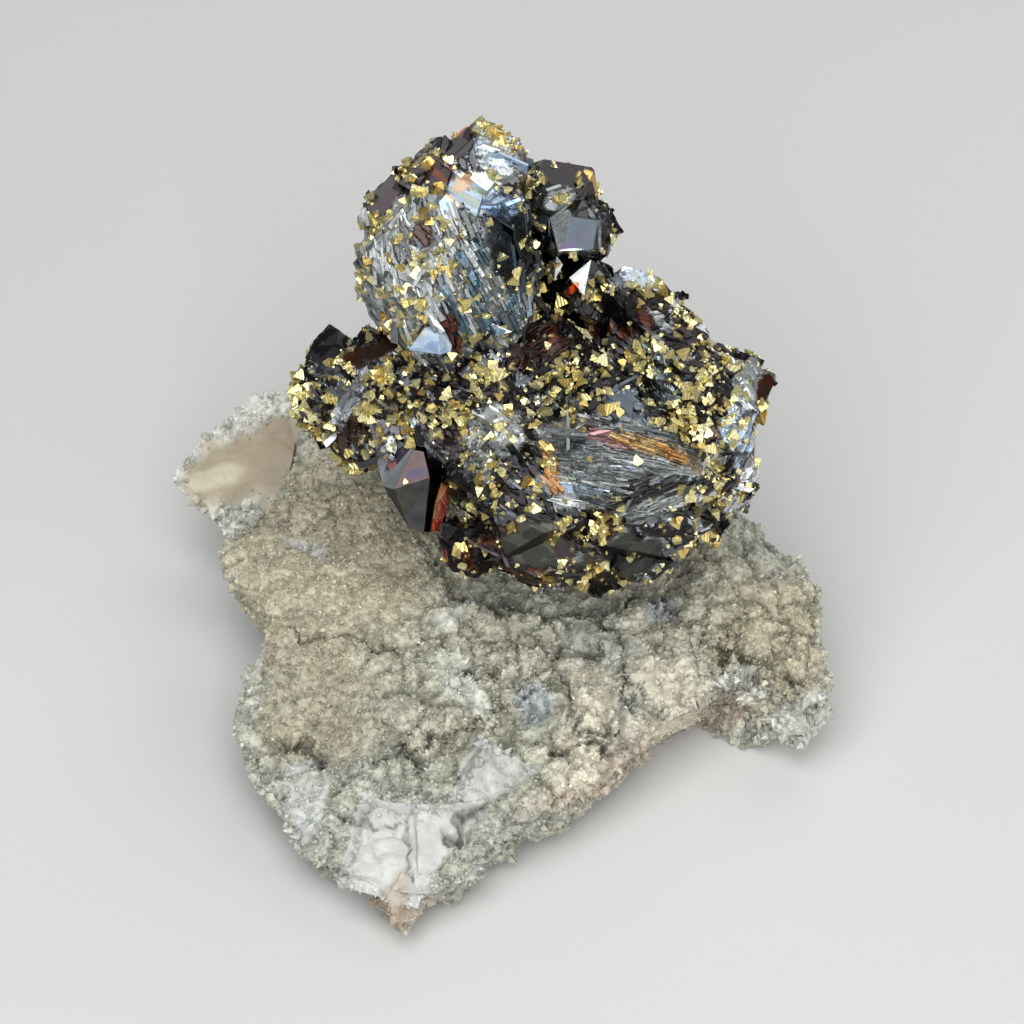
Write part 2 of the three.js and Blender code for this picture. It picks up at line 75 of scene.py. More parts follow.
# without a seed the vector noise starts from the clock
noiseSeed = 7
noise.seed_set(noiseSeed)

# the camera looks down on the specimen from the front, so its crystals stand above the druse
eye = dict(elevation=44.0, aim=(-1.18, 5.3, 14.0), distance=330.0, pixelsPerMm=15.3, picture=1024,
           sensor=36.0, nearest=0.01)
pitch = math.radians(eye["elevation"])
across = np.array((1.0, 0.0, 0.0))
upward = np.array((0.0, math.sin(pitch), math.cos(pitch)))
outward = np.array((0.0, -math.cos(pitch), math.sin(pitch)))
aim = np.array(eye["aim"])


def placeCamera():
    camera = bpy.data.cameras.new("camera")
    camera.sensor_width = eye["sensor"]
    camera.lens = eye["sensor"] * eye["distance"] * eye["pixelsPerMm"] / eye["picture"]
    camera.clip_start = eye["nearest"]
    holder = bpy.data.objects.new("camera", camera)
    holder.location = Vector((aim + outward * eye["distance"]) * mm)
    holder.rotation_euler = (math.pi / 2 - pitch, 0, 0)
    scene.collection.objects.link(holder)
    scene.camera = holder


# soft boxes: where they stand in mm from the aim, how wide they are, their power and colour
lamps = dict(key=((-40, -130, 280), 0.36, 1.35, (0.97, 0.99, 1.0)),
             fill=((230, -170, 110), 0.25, 0.30, (1.0, 0.98, 0.95)),
             front=((-60, -300, 90), 0.22, 0.22, (1.0, 1.0, 1.0)),
             back=((120, 220, 210), 0.22, 0.30, (1.0, 1.0, 1.0)),
             spark=((70, -250, 210), 0.03, 0.045, (1.0, 1.0, 1.0)))
room = dict(sky=(0.80, 0.84, 0.90, 1), skyPower=0.16, floor=(0.56, 0.555, 0.54, 1), floorSize=3.0,
            floorDrop=0.00002, floorRoughness=0.85)


def placeLamps():
    for name, (spot, wide, power, colour) in lamps.items():
        light = bpy.data.lights.new(name, "AREA")
        light.size = wide
        light.energy = power
        light.color = colour
        holder = bpy.data.objects.new(name, light)
        holder.location = Vector((aim + np.array(spot)) * mm)
        holder.rotation_euler = (-Vector(spot)).to_track_quat("-Z", "Y").to_euler()
        scene.collection.objects.link(holder)
    world = bpy.data.worlds.new("room")
    world.use_nodes = True
    sky = world.node_tree.nodes["Background"].inputs
    sky["Color"].default_value = room["sky"]
    sky["Strength"].default_value = room["skyPower"]
    scene.world = world
    scene.view_settings.view_transform = "Standard"


def placeFloor():
    bpy.ops.mesh.primitive_plane_add(size=room["floorSize"], location=(0, 0, -room["floorDrop"]))
    floor = bpy.context.object
    floor.name = "floor"
    finish = bpy.data.materials.new("paleFloor")
    finish.use_nodes = True
    shader = finish.node_tree.nodes["Principled BSDF"].inputs
    shader["Base Color"].default_value = room["floor"]
    shader["Roughness"].default_value = room["floorRoughness"]
    floor.data.materials.append(finish)


placeCamera()
placeLamps()
placeFloor()
print("camera, lights and floor placed")


# helpers for fine meshes, which are coarser on faces turned away from the front
fineMesh = dict(joinWithin=2e-6, mostRounds=12, backStarts=-0.25, backCoarser=1.8)


def mergedArrays(node):
    bm = bmesh.new()
    bm.from_mesh(frame["nodes"][node].data)
    bmesh.ops.remove_doubles(bm, verts=bm.verts, dist=fineMesh["joinWithin"])
    bmesh.ops.triangulate(bm, faces=bm.faces)
    vertices = np.array([v.co for v in bm.verts])
    faces = np.array([[v.index for v in f.verts] for f in bm.faces])
    bm.free()
    return vertices, faces


def refined(vertices, faces, longest):
    # sides that are too long are halved until none is left, so neighbours stay joined
    for _ in range(fineMesh["mostRounds"]):
        sides = np.sort(faces[:, [[0, 1], [1, 2], [2, 0]]].reshape(-1, 2), axis=1)
        unique, which = np.unique(sides, axis=0, return_inverse=True)
        ends = vertices[unique]
        ahead = np.full(len(unique), -1.0)
        np.maximum.at(ahead, which.reshape(-1), np.repeat(normalsOf(vertices, faces)[0] @ outward, 3))
        limit = longest * np.where(ahead > fineMesh["backStarts"], 1.0, fineMesh["backCoarser"])
        cut = np.linalg.norm(ends[:, 0] - ends[:, 1], axis=1) > limit
        if not cut.any():
            break
        middle = np.full(len(unique), -1)
        middle[cut] = len(vertices) + np.arange(cut.sum())
        vertices = np.vstack([vertices, ends[cut].mean(axis=1)])
        halves = middle[which.reshape(-1)].reshape(-1, 3)
        count = (halves >= 0).sum(axis=1)
        made = [faces[count == 0]]
        full = count == 3
        f, h = faces[full], halves[full]
        made += [np.stack(t, axis=1) for t in
                 ((f[:, 0], h[:, 0], h[:, 2]), (h[:, 0], f[:, 1], h[:, 1]),
                  (h[:, 2], h[:, 1], f[:, 2]), (h[:, 0], h[:, 1], h[:, 2]))]
        for i in range(3):
            j, k = (i + 1) % 3, (i + 2) % 3
            single = (count == 1) & (halves[:, i] >= 0)
            f, h = faces[single], halves[single]
            made += [np.stack(t, axis=1) for t in
                     ((f[:, i], h[:, i], f[:, k]), (h[:, i], f[:, j], f[:, k]))]
            pair = (count == 2) & (halves[:, i] < 0)
            f, h = faces[pair], halves[pair]
            made += [np.stack(t, axis=1) for t in
                     ((f[:, i], f[:, j], h[:, j]), (f[:, i], h[:, j], h[:, k]),
                      (h[:, k], h[:, j], f[:, k]))]
        faces = np.vstack(made)
    return vertices, faces


def unit(vectors):
    return vectors / np.maximum(np.linalg.norm(vectors, axis=1), 1e-20)[:, None]


def normalsOf(vertices, faces):
    corner = vertices[faces]
    face = np.cross(corner[:, 1] - corner[:, 0], corner[:, 2] - corner[:, 0])
    point = np.zeros_like(vertices)
    for i in range(3):
        np.add.at(point, faces[:, i], face)
    return unit(face), unit(point)


def skinPiece(name, vertices, faces, finish, attributes):
    # a mesh with its finish and its attributes, which hold a value for each point or for each face
    mesh = bpy.data.meshes.new(name)
    mesh.from_pydata(np.clip(vertices, cadLow, cadHigh).tolist(), [], faces.tolist())
    mesh.update()
    attributes["chance"] = np.full(len(vertices), 0.5)
    for key, values in attributes.items():
        values = np.asarray(values, dtype=np.float32)
        domain = "POINT" if len(values) == len(vertices) else "FACE"
        if values.ndim == 1:
            mesh.attributes.new(key, "FLOAT", domain).data.foreach_set("value", values)
        elif key in ("run", "out"):
            mesh.attributes.new(key, "FLOAT_VECTOR", domain).data.foreach_set("vector", values.ravel())
        else:
            opaque = np.hstack([values, np.ones((len(values), 1), np.float32)])
            mesh.attributes.new(key, "FLOAT_COLOR", domain).data.foreach_set("color", opaque.ravel())
    mesh.materials.append(finish)
    piece = bpy.data.objects.new(name, mesh)
    scene.collection.objects.link(piece)
    print(name, "has", len(faces), "faces")
    return piece


def pictureOf(points):
    # where the camera sees each point, in pixels of the square picture
    rel = points / mm - aim
    depth = rel @ outward
    size = eye["pixelsPerMm"] * eye["distance"] / (eye["distance"] - depth)
    middle = eye["picture"] / 2
    return middle + (rel @ across) * size, middle - (rel @ upward) * size


def wobbleOf(points, reach):
    return np.array([noise.noise_vector(Vector(p) / (reach * mm)) for p in points])


# zones: patches of a skin, each an oval in the picture with its own finish

tones = dict(charcoal=(0.024, 0.022, 0.023), plum=(0.032, 0.021, 0.023), black=(0.005, 0.005, 0.006),
             graphite=(0.085, 0.083, 0.07), slate=(0.095, 0.092, 0.105), haze=(0.19, 0.22, 0.23),
             steel=(0.24, 0.26, 0.28), silver=(0.46, 0.49, 0.49), white=(0.68, 0.7, 0.69),
             ice=(0.46, 0.58, 0.72), sky=(0.28, 0.4, 0.6), pearl=(0.4, 0.46, 0.42), peach=(0.58, 0.42, 0.3),
             teal=(0.006, 0.017, 0.026), sea=(0.05, 0.13, 0.18), dusk=(0.15, 0.185, 0.22),
             violet=(0.06, 0.048, 0.085), rust=(0.1, 0.026, 0.012), ember=(0.85, 0.085, 0.006),
             amber=(0.85, 0.36, 0.06), rose=(0.36, 0.16, 0.15), gilt=(0.66, 0.44, 0.15),
             moss=(0.04, 0.042, 0.034), brown=(0.07, 0.042, 0.032), mauve=(0.085, 0.055, 0.055),
             deep=(0.046, 0.057, 0.068))
# how the borders of the zones waver and fade, and how faces are gathered into facets
borders = dict(swaySize=1.3, sway=9, soft=0.24, calmBelow=18, frontFrom=0.22, frontFade=0.25,
               facetApart=0.12, facetTurns=30, facetFront=0.08, facetNear=5.0)


def zone(at, reach, turn, tone, shine, share=0.0, gold=0.0, plates=0.0, relief=0.0, run=-60, lines=0.0,
         metal=0.9, facet=False):
    return dict(at=at, reach=reach, turn=turn, tone=tones[tone], shine=tones[shine], share=share, gold=gold,
                plates=plates, relief=relief, run=run, lines=lines, metal=metal, facet=facet)


def facet(at, tone, shine=None, share=0.0, gold=0.0, lines=0.0, run=60, metal=0.9, reach=60):
    # one flat crystal face, the one that shows at this place in the picture
    return zone(at, (reach, reach), 0, tone, shine or tone, share, gold, 0.0, 0.0, run, lines, metal, True)


mixed = ("tone", "shine", "share", "gold", "plates", "relief", "lines", "metal")


def ovalWeight(points, normals, spot, sway, soft):
    # 1 inside an oval of the picture and 0 outside, with a wavering border, and only on the front
    x, y = pictureOf(points)
    at, reach, angle = spot["at"], spot["reach"], math.radians(spot["turn"])
    waver = min(1.0, min(reach) / borders["calmBelow"])
    dx, dy = x - at[0] + sway[:, 0] * waver, at[1] - y + sway[:, 1] * waver
    along = (dx * math.cos(angle) + dy * math.sin(angle)) / reach[0]
    aside = (dy * math.cos(angle) - dx * math.sin(angle)) / reach[1]
    front = np.clip((normals @ outward + borders["frontFrom"]) / borders["frontFade"], 0, 1)
    return np.clip((1 + soft / 2 - np.hypot(along, aside)) / soft, 0, 1) * front


def facetKeys(centres, facing):
    # one number for all faces that lie in the same plane
    offset = (centres * facing).sum(axis=1) / (borders["facetApart"] * mm)
    grid = np.round(np.column_stack([facing * borders["facetTurns"], offset])).astype(int)
    return np.unique(grid, axis=0, return_inverse=True)[1].reshape(-1)


def facetWeight(centres, facing, keys, at, reach):
    x, y = pictureOf(centres)
    hidden = facing @ outward <= borders["facetFront"]
    far = np.hypot(x - at[0], y - at[1]) + np.where(hidden, 1e6, 0)
    close = np.where(far < max(borders["facetNear"], far.min() + 1))[0]
    chosen = close[np.argmax((centres / mm - aim)[close] @ outward)]
    return ((keys == keys[chosen]) & (far < reach)).astype(float)


def layZones(vertices, normals, faces, facing, zones):
    # the first zone is the ground that the others lie on; values for the points and for the faces
    centres = vertices[faces].mean(axis=1)
    keys = facetKeys(centres, facing)
    places = ((vertices, normals), (centres, facing))
    sways = [wobbleOf(points, borders["swaySize"]) * borders["sway"] for points, _ in places]
    laid = [{key: np.repeat(np.atleast_2d(zones[0][key]), len(points), axis=0).astype(float)
             for key in mixed + ("run",)} for points, _ in places]
    for patch in zones[1:]:
        if patch["facet"]:
            onFaces = facetWeight(centres, facing, keys, patch["at"], patch["reach"][0])
            onPoints = np.zeros(len(vertices))
            for i in range(3):
                np.maximum.at(onPoints, faces[:, i], onFaces)
            weights = (onPoints, onFaces)
        else:
            weights = [ovalWeight(points, out, patch, sway, borders["soft"])
                       for (points, out), sway in zip(places, sways)]
        for values, weight in zip(laid, weights):
            for key in mixed:
                values[key] += (np.atleast_2d(patch[key]) - values[key]) * weight[:, None]
            values["run"][weight > 0.5] = patch["run"]
    return [{key: v if v.shape[1] > 1 else v[:, 0] for key, v in values.items()}
            for values in laid] + [keys]


# each cell draws its numbers at spots this far from its key
keySpread, leanShift, rollShift = 57.0, Vector((11.3, 5.1, 2.7)), Vector((3.9, 17.7, 8.3))


def mosaic(points, run, cell, stretch):
    # long cells that lie along the run, as growth steps do: a chance, a tilted height and a rim for each
    rel = points / mm
    a, b, c = rel @ across, rel @ upward, rel @ outward
    angle = np.radians(run)
    long = (a * np.cos(angle) + b * np.sin(angle)) / (cell * stretch)
    wide = (b * np.cos(angle) - a * np.sin(angle)) / cell
    found = np.empty((len(points), 4))
    for i, spot in enumerate(zip(long, wide, c / cell)):
        far, near = noise.voronoi(spot)
        key = near[0] * keySpread
        chance, lean, roll = noise.cell(key), noise.cell(key + leanShift), noise.cell(key + rollShift)
        tilt = (spot[0] - near[0][0]) * lean + (spot[1] - near[0][1]) * roll
        found[i] = 0.5 + 0.5 * chance, 0.5 + 0.5 * lean, tilt, far[1] - far[0]
    return found, wide * cell


# node trees and materials

def join(node, joins):
    # each input, by its name or place, is linked to a socket or given a value
    for key, value in joins.items():
        if isinstance(value, bpy.types.NodeSocket):
            node.id_data.links.new(value, node.inputs[key])
        else:
            node.inputs[key].default_value = value
    return node


def nodeMakers(tree):
    def add(kind, joins, **settings):
        node = tree.nodes.new(kind)
        for key, value in settings.items():
            setattr(node, key, value)
        return join(node, joins)

    def computed(operation, first, second):
        return add("ShaderNodeMath", {0: first, 1: second}, operation=operation).outputs[0]

    return add, computed


def newMaterial(name):
    material = bpy.data.materials.new(name)
    material.use_nodes = True
    add, computed = nodeMakers(material.node_tree)
    place = add("ShaderNodeTexCoord", {}).outputs["Object"]
    return material, material.node_tree.nodes["Principled BSDF"], add, computed, place


def attribute(add, name, output="Fac"):
    return add("ShaderNodeAttribute", {}, attribute_name=name).outputs[output]


def grainy(add, place, size, detail):
    return add("ShaderNodeTexNoise", {"Vector": place, "Scale": size, "Detail": detail}).outputs["Fac"]


def spread(add, value, bounds, start=(0.0, 1.0)):
    # the value moved from the range start to the range bounds
    return add("ShaderNodeMapRange", {"Value": value, "From Min": start[0], "From Max": start[1],
                                      "To Min": bounds[0], "To Max": bounds[1]}).outputs[0]


def scaled(add, colour, factor):
    return add("ShaderNodeVectorMath", {0: colour, "Scale": factor}, operation="SCALE").outputs[0]


def bumped(add, height, strength, distance):
    return add("ShaderNodeBump", {"Height": height, "Strength": strength, "Distance": distance}).outputs[0]


sphaleriteLook = dict(cloud=1400.0, ripple=0.9, ridge=(0.36, 0.62), patchy=(0.72, 1.30), grooveDark=0.85,
                      varied=(0.45, 1.55), index=2.37, grain=0.3, bump=(0.5, 0.00004))
brassLook = dict(stops=((0.0, (0.86, 0.80, 0.48)), (0.5, (0.80, 0.71, 0.35)), (0.80, (0.68, 0.56, 0.22)),
                        (0.95, (0.62, 0.43, 0.12)), (1.0, (0.32, 0.28, 0.12))),
                 grain=5200.0, turns={"X": 43.0, "Z": 29.0}, grooves=1500.0, patchy=(0.72, 1.2),
                 grooved=(0.80, 1.08), metal=0.80, roughness=(0.22, 0.42), bump=(0.35, 0.00003))
druseLook = dict(cloud=420.0, grain=3600.0, crystals=3000.0, sparkle=(-0.26, 0.28), patchy=(0.62, 1.38),
                 varied=(0.86, 1.22), index=1.54, glowColour=(1.0, 0.85, 0.65), glowDepth=0.0006,
                 grainRise=0.5, bump=(0.7, 0.00010))


def sphaleriteMaterial(name, roughness, striation):
    look = sphaleriteLook
    material, shader, add, computed, place = newMaterial(name)
    cloud = grainy(add, place, look["cloud"], 4.0)
    ruled = attribute(add, "ruled")
    along = computed("ADD", computed("MULTIPLY", attribute(add, "lines"), striation),
                     computed("MULTIPLY", cloud, look["ripple"]))
    wave = add("ShaderNodeTexNoise", {"Detail": 3.0, "Roughness": 0.62, "W": along}, noise_dimensions="1D")
    ridge = spread(add, wave.outputs["Fac"], (0.0, 1.0), look["ridge"])
    shadow = computed("MULTIPLY", computed("SUBTRACT", 1.0, ridge), ruled)
    shade = computed("SUBTRACT", spread(add, cloud, look["patchy"]),
                     computed("MULTIPLY", shadow, look["grooveDark"]))
    shade = computed("MULTIPLY", shade, spread(add, attribute(add, "chance"), look["varied"]))
    relief = computed("ADD", computed("MULTIPLY", cloud, look["grain"]), computed("MULTIPLY", ridge, ruled))
    join(shader, {"Base Color": scaled(add, attribute(add, "tone", "Color"), shade),
                  "Metallic": attribute(add, "metal"), "Roughness": spread(add, cloud, roughness),
                  "IOR": look["index"], "Normal": bumped(add, relief, *look["bump"])})
    return material


def brassMaterial(name):
    look = brassLook
    material, shader, add, computed, place = newMaterial(name)
    chance = attribute(add, "chance")
    ramp = add("ShaderNodeValToRGB", {"Fac": chance})
    for i, (spot, colour) in enumerate(look["stops"]):
        stop = ramp.color_ramp.elements[i] if i < 2 else ramp.color_ramp.elements.new(spot)
        stop.position, stop.color = spot, (*colour, 1)
    grain = grainy(add, place, look["grain"], 3.0)
    # each crystal has grooves along a direction of its own
    angles = add("ShaderNodeCombineXYZ", {axis: computed("MULTIPLY", chance, turns)
                                          for axis, turns in look["turns"].items()})
    turned = add("ShaderNodeVectorRotate", {"Vector": place}, rotation_type="EULER_XYZ")
    join(turned, {"Rotation": angles.outputs[0]})
    groove = add("ShaderNodeTexWave", {"Vector": turned.outputs[0], "Scale": look["grooves"],
                                       "Distortion": 3.0, "Detail": 2.0}).outputs["Fac"]
    shade = computed("MULTIPLY", spread(add, grain, look["patchy"]), spread(add, groove, look["grooved"]))
    join(shader, {"Base Color": scaled(add, ramp.outputs["Color"], shade), "Metallic": look["metal"],
                  "Roughness": spread(add, grain, look["roughness"]),
                  "Normal": bumped(add, groove, *look["bump"])})
    return material


def druseMaterial(name, roughness, glow):
    look = druseLook
    material, shader, add, computed, place = newMaterial(name)
    sugar = attribute(add, "sugar")
    coarse, fine = grainy(add, place, look["cloud"], 5.0), grainy(add, place, look["grain"], 3.0)
    crystals = add("ShaderNodeTexVoronoi", {"Vector": place, "Scale": look["crystals"]}).outputs
    glint = add("ShaderNodeSeparateXYZ", {0: crystals["Color"]}).outputs[0]
    sparkle = computed("MULTIPLY", spread(add, glint, look["sparkle"]), sugar)
    both = computed("MULTIPLY", spread(add, coarse, look["patchy"]), computed("ADD", sparkle, 1.0))
    shade = computed("MULTIPLY", both, spread(add, attribute(add, "chance"), look["varied"]))
    relief = computed("SUBTRACT", computed("MULTIPLY", fine, look["grainRise"]),
                      computed("MULTIPLY", crystals["Distance"], sugar))
    join(shader, {"Base Color": scaled(add, attribute(add, "tone", "Color"), shade),
                  "Roughness": spread(add, fine, roughness), "IOR": look["index"],
                  "Subsurface Weight": glow, "Subsurface Radius": look["glowColour"],
                  "Subsurface Scale": look["glowDepth"], "Normal": bumped(add, relief, *look["bump"])})
    return material


facetFinish = sphaleriteMaterial("sphaleriteStepped", (0.20, 0.42), 7.0)
mirrorFinish = sphaleriteMaterial("sphaleriteMirror", (0.14, 0.30), 5.0)
brassFinish = brassMaterial("chalcopyriteBrass")
druseFinish = druseMaterial("quartzDruse", (0.30, 0.60), 0.2)
pointFinish = druseMaterial("quartzPoints", (0.08, 0.28), 0.2)
carbonateFinish = druseMaterial("carbonateFace", (0.35, 0.65), 0.1)
print("materials made")


# one Geometry Nodes tree spreads small shapes over a skin, freely or along its run

sizeVaries = (0.8, 0.8, 0.8), (1.25, 1.25, 1.25)


def scatterTree(name, aligned):
    tree = bpy.data.node_groups.new(name, "GeometryNodeTree")
    sockets = {"Geometry": "Geometry", "Shapes": "Collection", "Kinds": "Int", "Share": "String",
               "Amount": "Float", "Smallest": "Vector", "Largest": "Vector", "Skew": "Float",
               "Lean": "Vector", "Seed": "Int", "Finish": "Material"}
    for label, kind in sockets.items():
        tree.interface.new_socket(label, in_out="INPUT", socket_type="NodeSocket" + kind)
    tree.interface.new_socket("Geometry", in_out="OUTPUT", socket_type="NodeSocketGeometry")
    given = tree.nodes.new("NodeGroupInput").outputs
    add, computed = nodeMakers(tree)

    def random(kind, low, high, shift):
        # a random value for each point, with the shift added to the seed
        first = {"FLOAT_VECTOR": 0, "FLOAT": 2, "INT": 4}[kind]
        joins = {first: low, first + 1: high, "Seed": computed("ADD", given["Seed"], shift)}
        return add("FunctionNodeRandomValue", joins, data_type=kind).outputs[first // 2]

    share = add("GeometryNodeInputNamedAttribute", {"Name": given["Share"]}, data_type="FLOAT")
    density = computed("MULTIPLY", share.outputs["Attribute"], given["Amount"])
    points = add("GeometryNodeDistributePointsOnFaces",
                 {"Mesh": given["Geometry"], "Density": density, "Seed": given["Seed"]})
    spin = points.outputs["Rotation"]
    if aligned:
        for axis, pivot, name in (("Z", "AUTO", "out"), ("X", "Z", "run")):
            way = add("GeometryNodeInputNamedAttribute", {"Name": name}, data_type="FLOAT_VECTOR")
            joins = {"Rotation": spin} if axis == "X" else {}
            joins["Vector"] = way.outputs["Attribute"]
            spin = add("FunctionNodeAlignRotationToVector", joins, axis=axis, pivot_axis=pivot).outputs[0]
    back = add("ShaderNodeVectorMath", {0: given["Lean"], "Scale": -1.0}, operation="SCALE").outputs[0]
    angles = random("FLOAT_VECTOR", back, given["Lean"], 3)
    lean = add("FunctionNodeEulerToRotation", {0: angles}).outputs[0]
    turned = add("FunctionNodeRotateRotation", {0: spin, 1: lean}, rotation_space="LOCAL").outputs[0]

    power = computed("POWER", random("FLOAT", 0.0, 1.0, 5), given["Skew"])
    size = add("ShaderNodeMix", {0: power, 4: given["Smallest"], 5: given["Largest"]}, data_type="VECTOR")
    varied = add("ShaderNodeVectorMath",
                 {0: size.outputs[1], 1: random("FLOAT_VECTOR", *sizeVaries, 7)}, operation="MULTIPLY")

    shapes = add("GeometryNodeCollectionInfo", {"Collection": given["Shapes"], "Separate Children": True,
                                                "Reset Children": True})
    chosen = random("INT", 0, computed("SUBTRACT", given["Kinds"], 1), 9)
    placed = add("GeometryNodeInstanceOnPoints",
                 {"Points": points.outputs["Points"], "Instance": shapes.outputs[0], "Pick Instance": True,
                  "Instance Index": chosen, "Rotation": turned, "Scale": varied.outputs[0]})
    store = add("GeometryNodeStoreNamedAttribute",
                {"Geometry": placed.outputs[0], "Name": "chance", "Value": random("FLOAT", 0.0, 1.0, 11)},
                data_type="FLOAT", domain="INSTANCE")
    real = add("GeometryNodeRealizeInstances", {0: store.outputs[0]})
    painted = add("GeometryNodeSetMaterial", {"Geometry": real.outputs[0], "Material": given["Finish"]})
    add("NodeGroupOutput", {0: painted.outputs[0]})
    return tree


freeTree, runTree = scatterTree("scatterFreely", False), scatterTree("scatterAlongRun", True)


def shapeGroup(name, shapes):
    # each island of corners in a shape becomes one closed flat-faced solid
    group = bpy.data.collections.new(name + "Shapes")
    for number, islands in enumerate(shapes):
        bm = bmesh.new()
        for corners in islands:
            bmesh.ops.convex_hull(bm, input=[bm.verts.new(c) for c in corners])
        bmesh.ops.delete(bm, geom=[v for v in bm.verts if not v.link_faces], context="VERTS")
        bmesh.ops.recalc_face_normals(bm, faces=bm.faces)
        mesh = bpy.data.meshes.new(name + str(number + 1))
        bm.to_mesh(mesh)
        bm.free()
        group.objects.link(bpy.data.objects.new(mesh.name, mesh))
    return group


def sphenoid(cut, flat, shift=(0, 0, 0), turn=0.0):
    # a four-faced crystal with its corners cut off, as chalcopyrite grows
    uneven, size = 0.35, 0.8
    corners = [Vector(c) for c in ((1, 1, 1), (1, -1, -1), (-1, 1, -1), (-1, -1, 1))]
    made = []
    for i, tip in enumerate(corners):
        for j, other in enumerate(corners):
            if i != j:
                p = tip.lerp(other, cut * (1 + uneven * ((i * 3 + j) % 3 - 1)))
                x = p.x * math.cos(turn) - p.y * math.sin(turn)
                y = p.x * math.sin(turn) + p.y * math.cos(turn)
                made.append((x * size + shift[0], y * size + shift[1], p.z * size * flat + shift[2]))
    return made


def bar(slant, narrow):
    # a flat-topped plate, one unit long each way, with slanting ends
    half, root, topHalf, top, tilt = 0.5, -0.7, 0.36, 0.45, 0.12
    return ([(x * half, y * half, root) for x in (-1, 1) for y in (-1, 1)] +
            [(x * half * narrow + slant, y * topHalf, top + tilt * x) for x in (-1, 1) for y in (-1, 1)])


def quartzPoint(side, high, lean):
    # a six-sided pyramid with an uneven foot, and a point below that holds it in the druse
    aside, root, foot, uneven = 0.03, -0.45, 0.12, 0.06
    ring = [(side * math.cos(i * math.pi / 3), side * math.sin(i * math.pi / 3), foot + uneven * (i % 2))
            for i in range(6)]
    return [(lean, aside, high), (0, 0, root)] + ring


# how far the corners are cut, how flat, the shift and the turn of each crystal in a wedge
wedges = (((0.18, 1, (0, 0, 0.2)),),
          ((0.26, 0.8, (0.1, 0, 0.3), 0.6), (0.3, 0.5, (-0.4, 0.2, 0.2), 2.9)),
          ((0.14, 0.85, (0.3, 0.1, 0.1)), (0.24, 0.6, (-0.35, -0.2, 0.4), 2.2)),
          ((0.32, 1.1, (0, 0, 0.2), 1.4),))
bars = ((0.0, 0.86), (0.08, 0.7), (-0.1, 0.6))
quartzTips = ((0.50, 0.62, 0.0), (0.56, 0.50, 0.04), (0.42, 0.80, 0.08))
wedgeShapes = shapeGroup("wedge", [[sphenoid(*crystal) for crystal in wedge] for wedge in wedges])
plateShapes = shapeGroup("plate", [[bar(*plate)] for plate in bars])
quartzShapes = shapeGroup("quartz", [[quartzPoint(*point)] for point in quartzTips])


def scatter(name, carrier, tree, **settings):
    piece = bpy.data.objects.new(name, carrier.data.copy())
    scene.collection.objects.link(piece)
    modifier = piece.modifiers.new("scatter", "NODES")
    modifier.node_group = tree
    settings["Kinds"] = len(settings["Shapes"].objects)
    for key in ("Smallest", "Largest"):
        settings[key] = [side * mm for side in settings[key]]
    for item in tree.interface.items_tree:
        if item.item_type == "SOCKET" and item.in_out == "INPUT" and item.name in settings:
            modifier[item.identifier] = settings[item.name]
    depsgraph = bpy.context.evaluated_depsgraph_get()
    mesh = bpy.data.meshes.new_from_object(
        piece.evaluated_get(depsgraph), preserve_all_data_layers=True, depsgraph=depsgraph)
    piece.modifiers.clear()
    mesh.name = name
    piece.data = mesh
    spots = np.empty(len(mesh.vertices) * 3)
    mesh.vertices.foreach_get("co", spots)
    spots = np.clip(spots.reshape(-1, 3), cadLow, cadHigh)
    mesh.vertices.foreach_set("co", spots.ravel())
    mesh.update()
    print(name, "has", len(mesh.polygons), "faces")
    return piece


def tellFrame(piece, slot, node=None):
    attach(piece, "root")
    if node:
        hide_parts(node)


# sphalerite skins

# the joint values set the painted shade in the cracks between steps; the tile and facet values set the
# painted reflections of the steps and facets
skinLook = dict(crackWide=0.10, crackDeep=0.15, levelMiddle=0.6, level=0.42, tilt=0.20, jointWide=0.12,
                jointShadeStrength=0.75, tileFrom=0.60, tileRange=0.8, roughFrom=2, facetFrom=0.8, facetRange=0.4,
                facetStep=0.61803, clumpSize=1.7, clumpFrom=0.85, clumpGain=1.5, clumpLimits=(0.25, 2.0),
                fibreFrom=0.7, fibreFade=0.1, fibreThins=0.7)


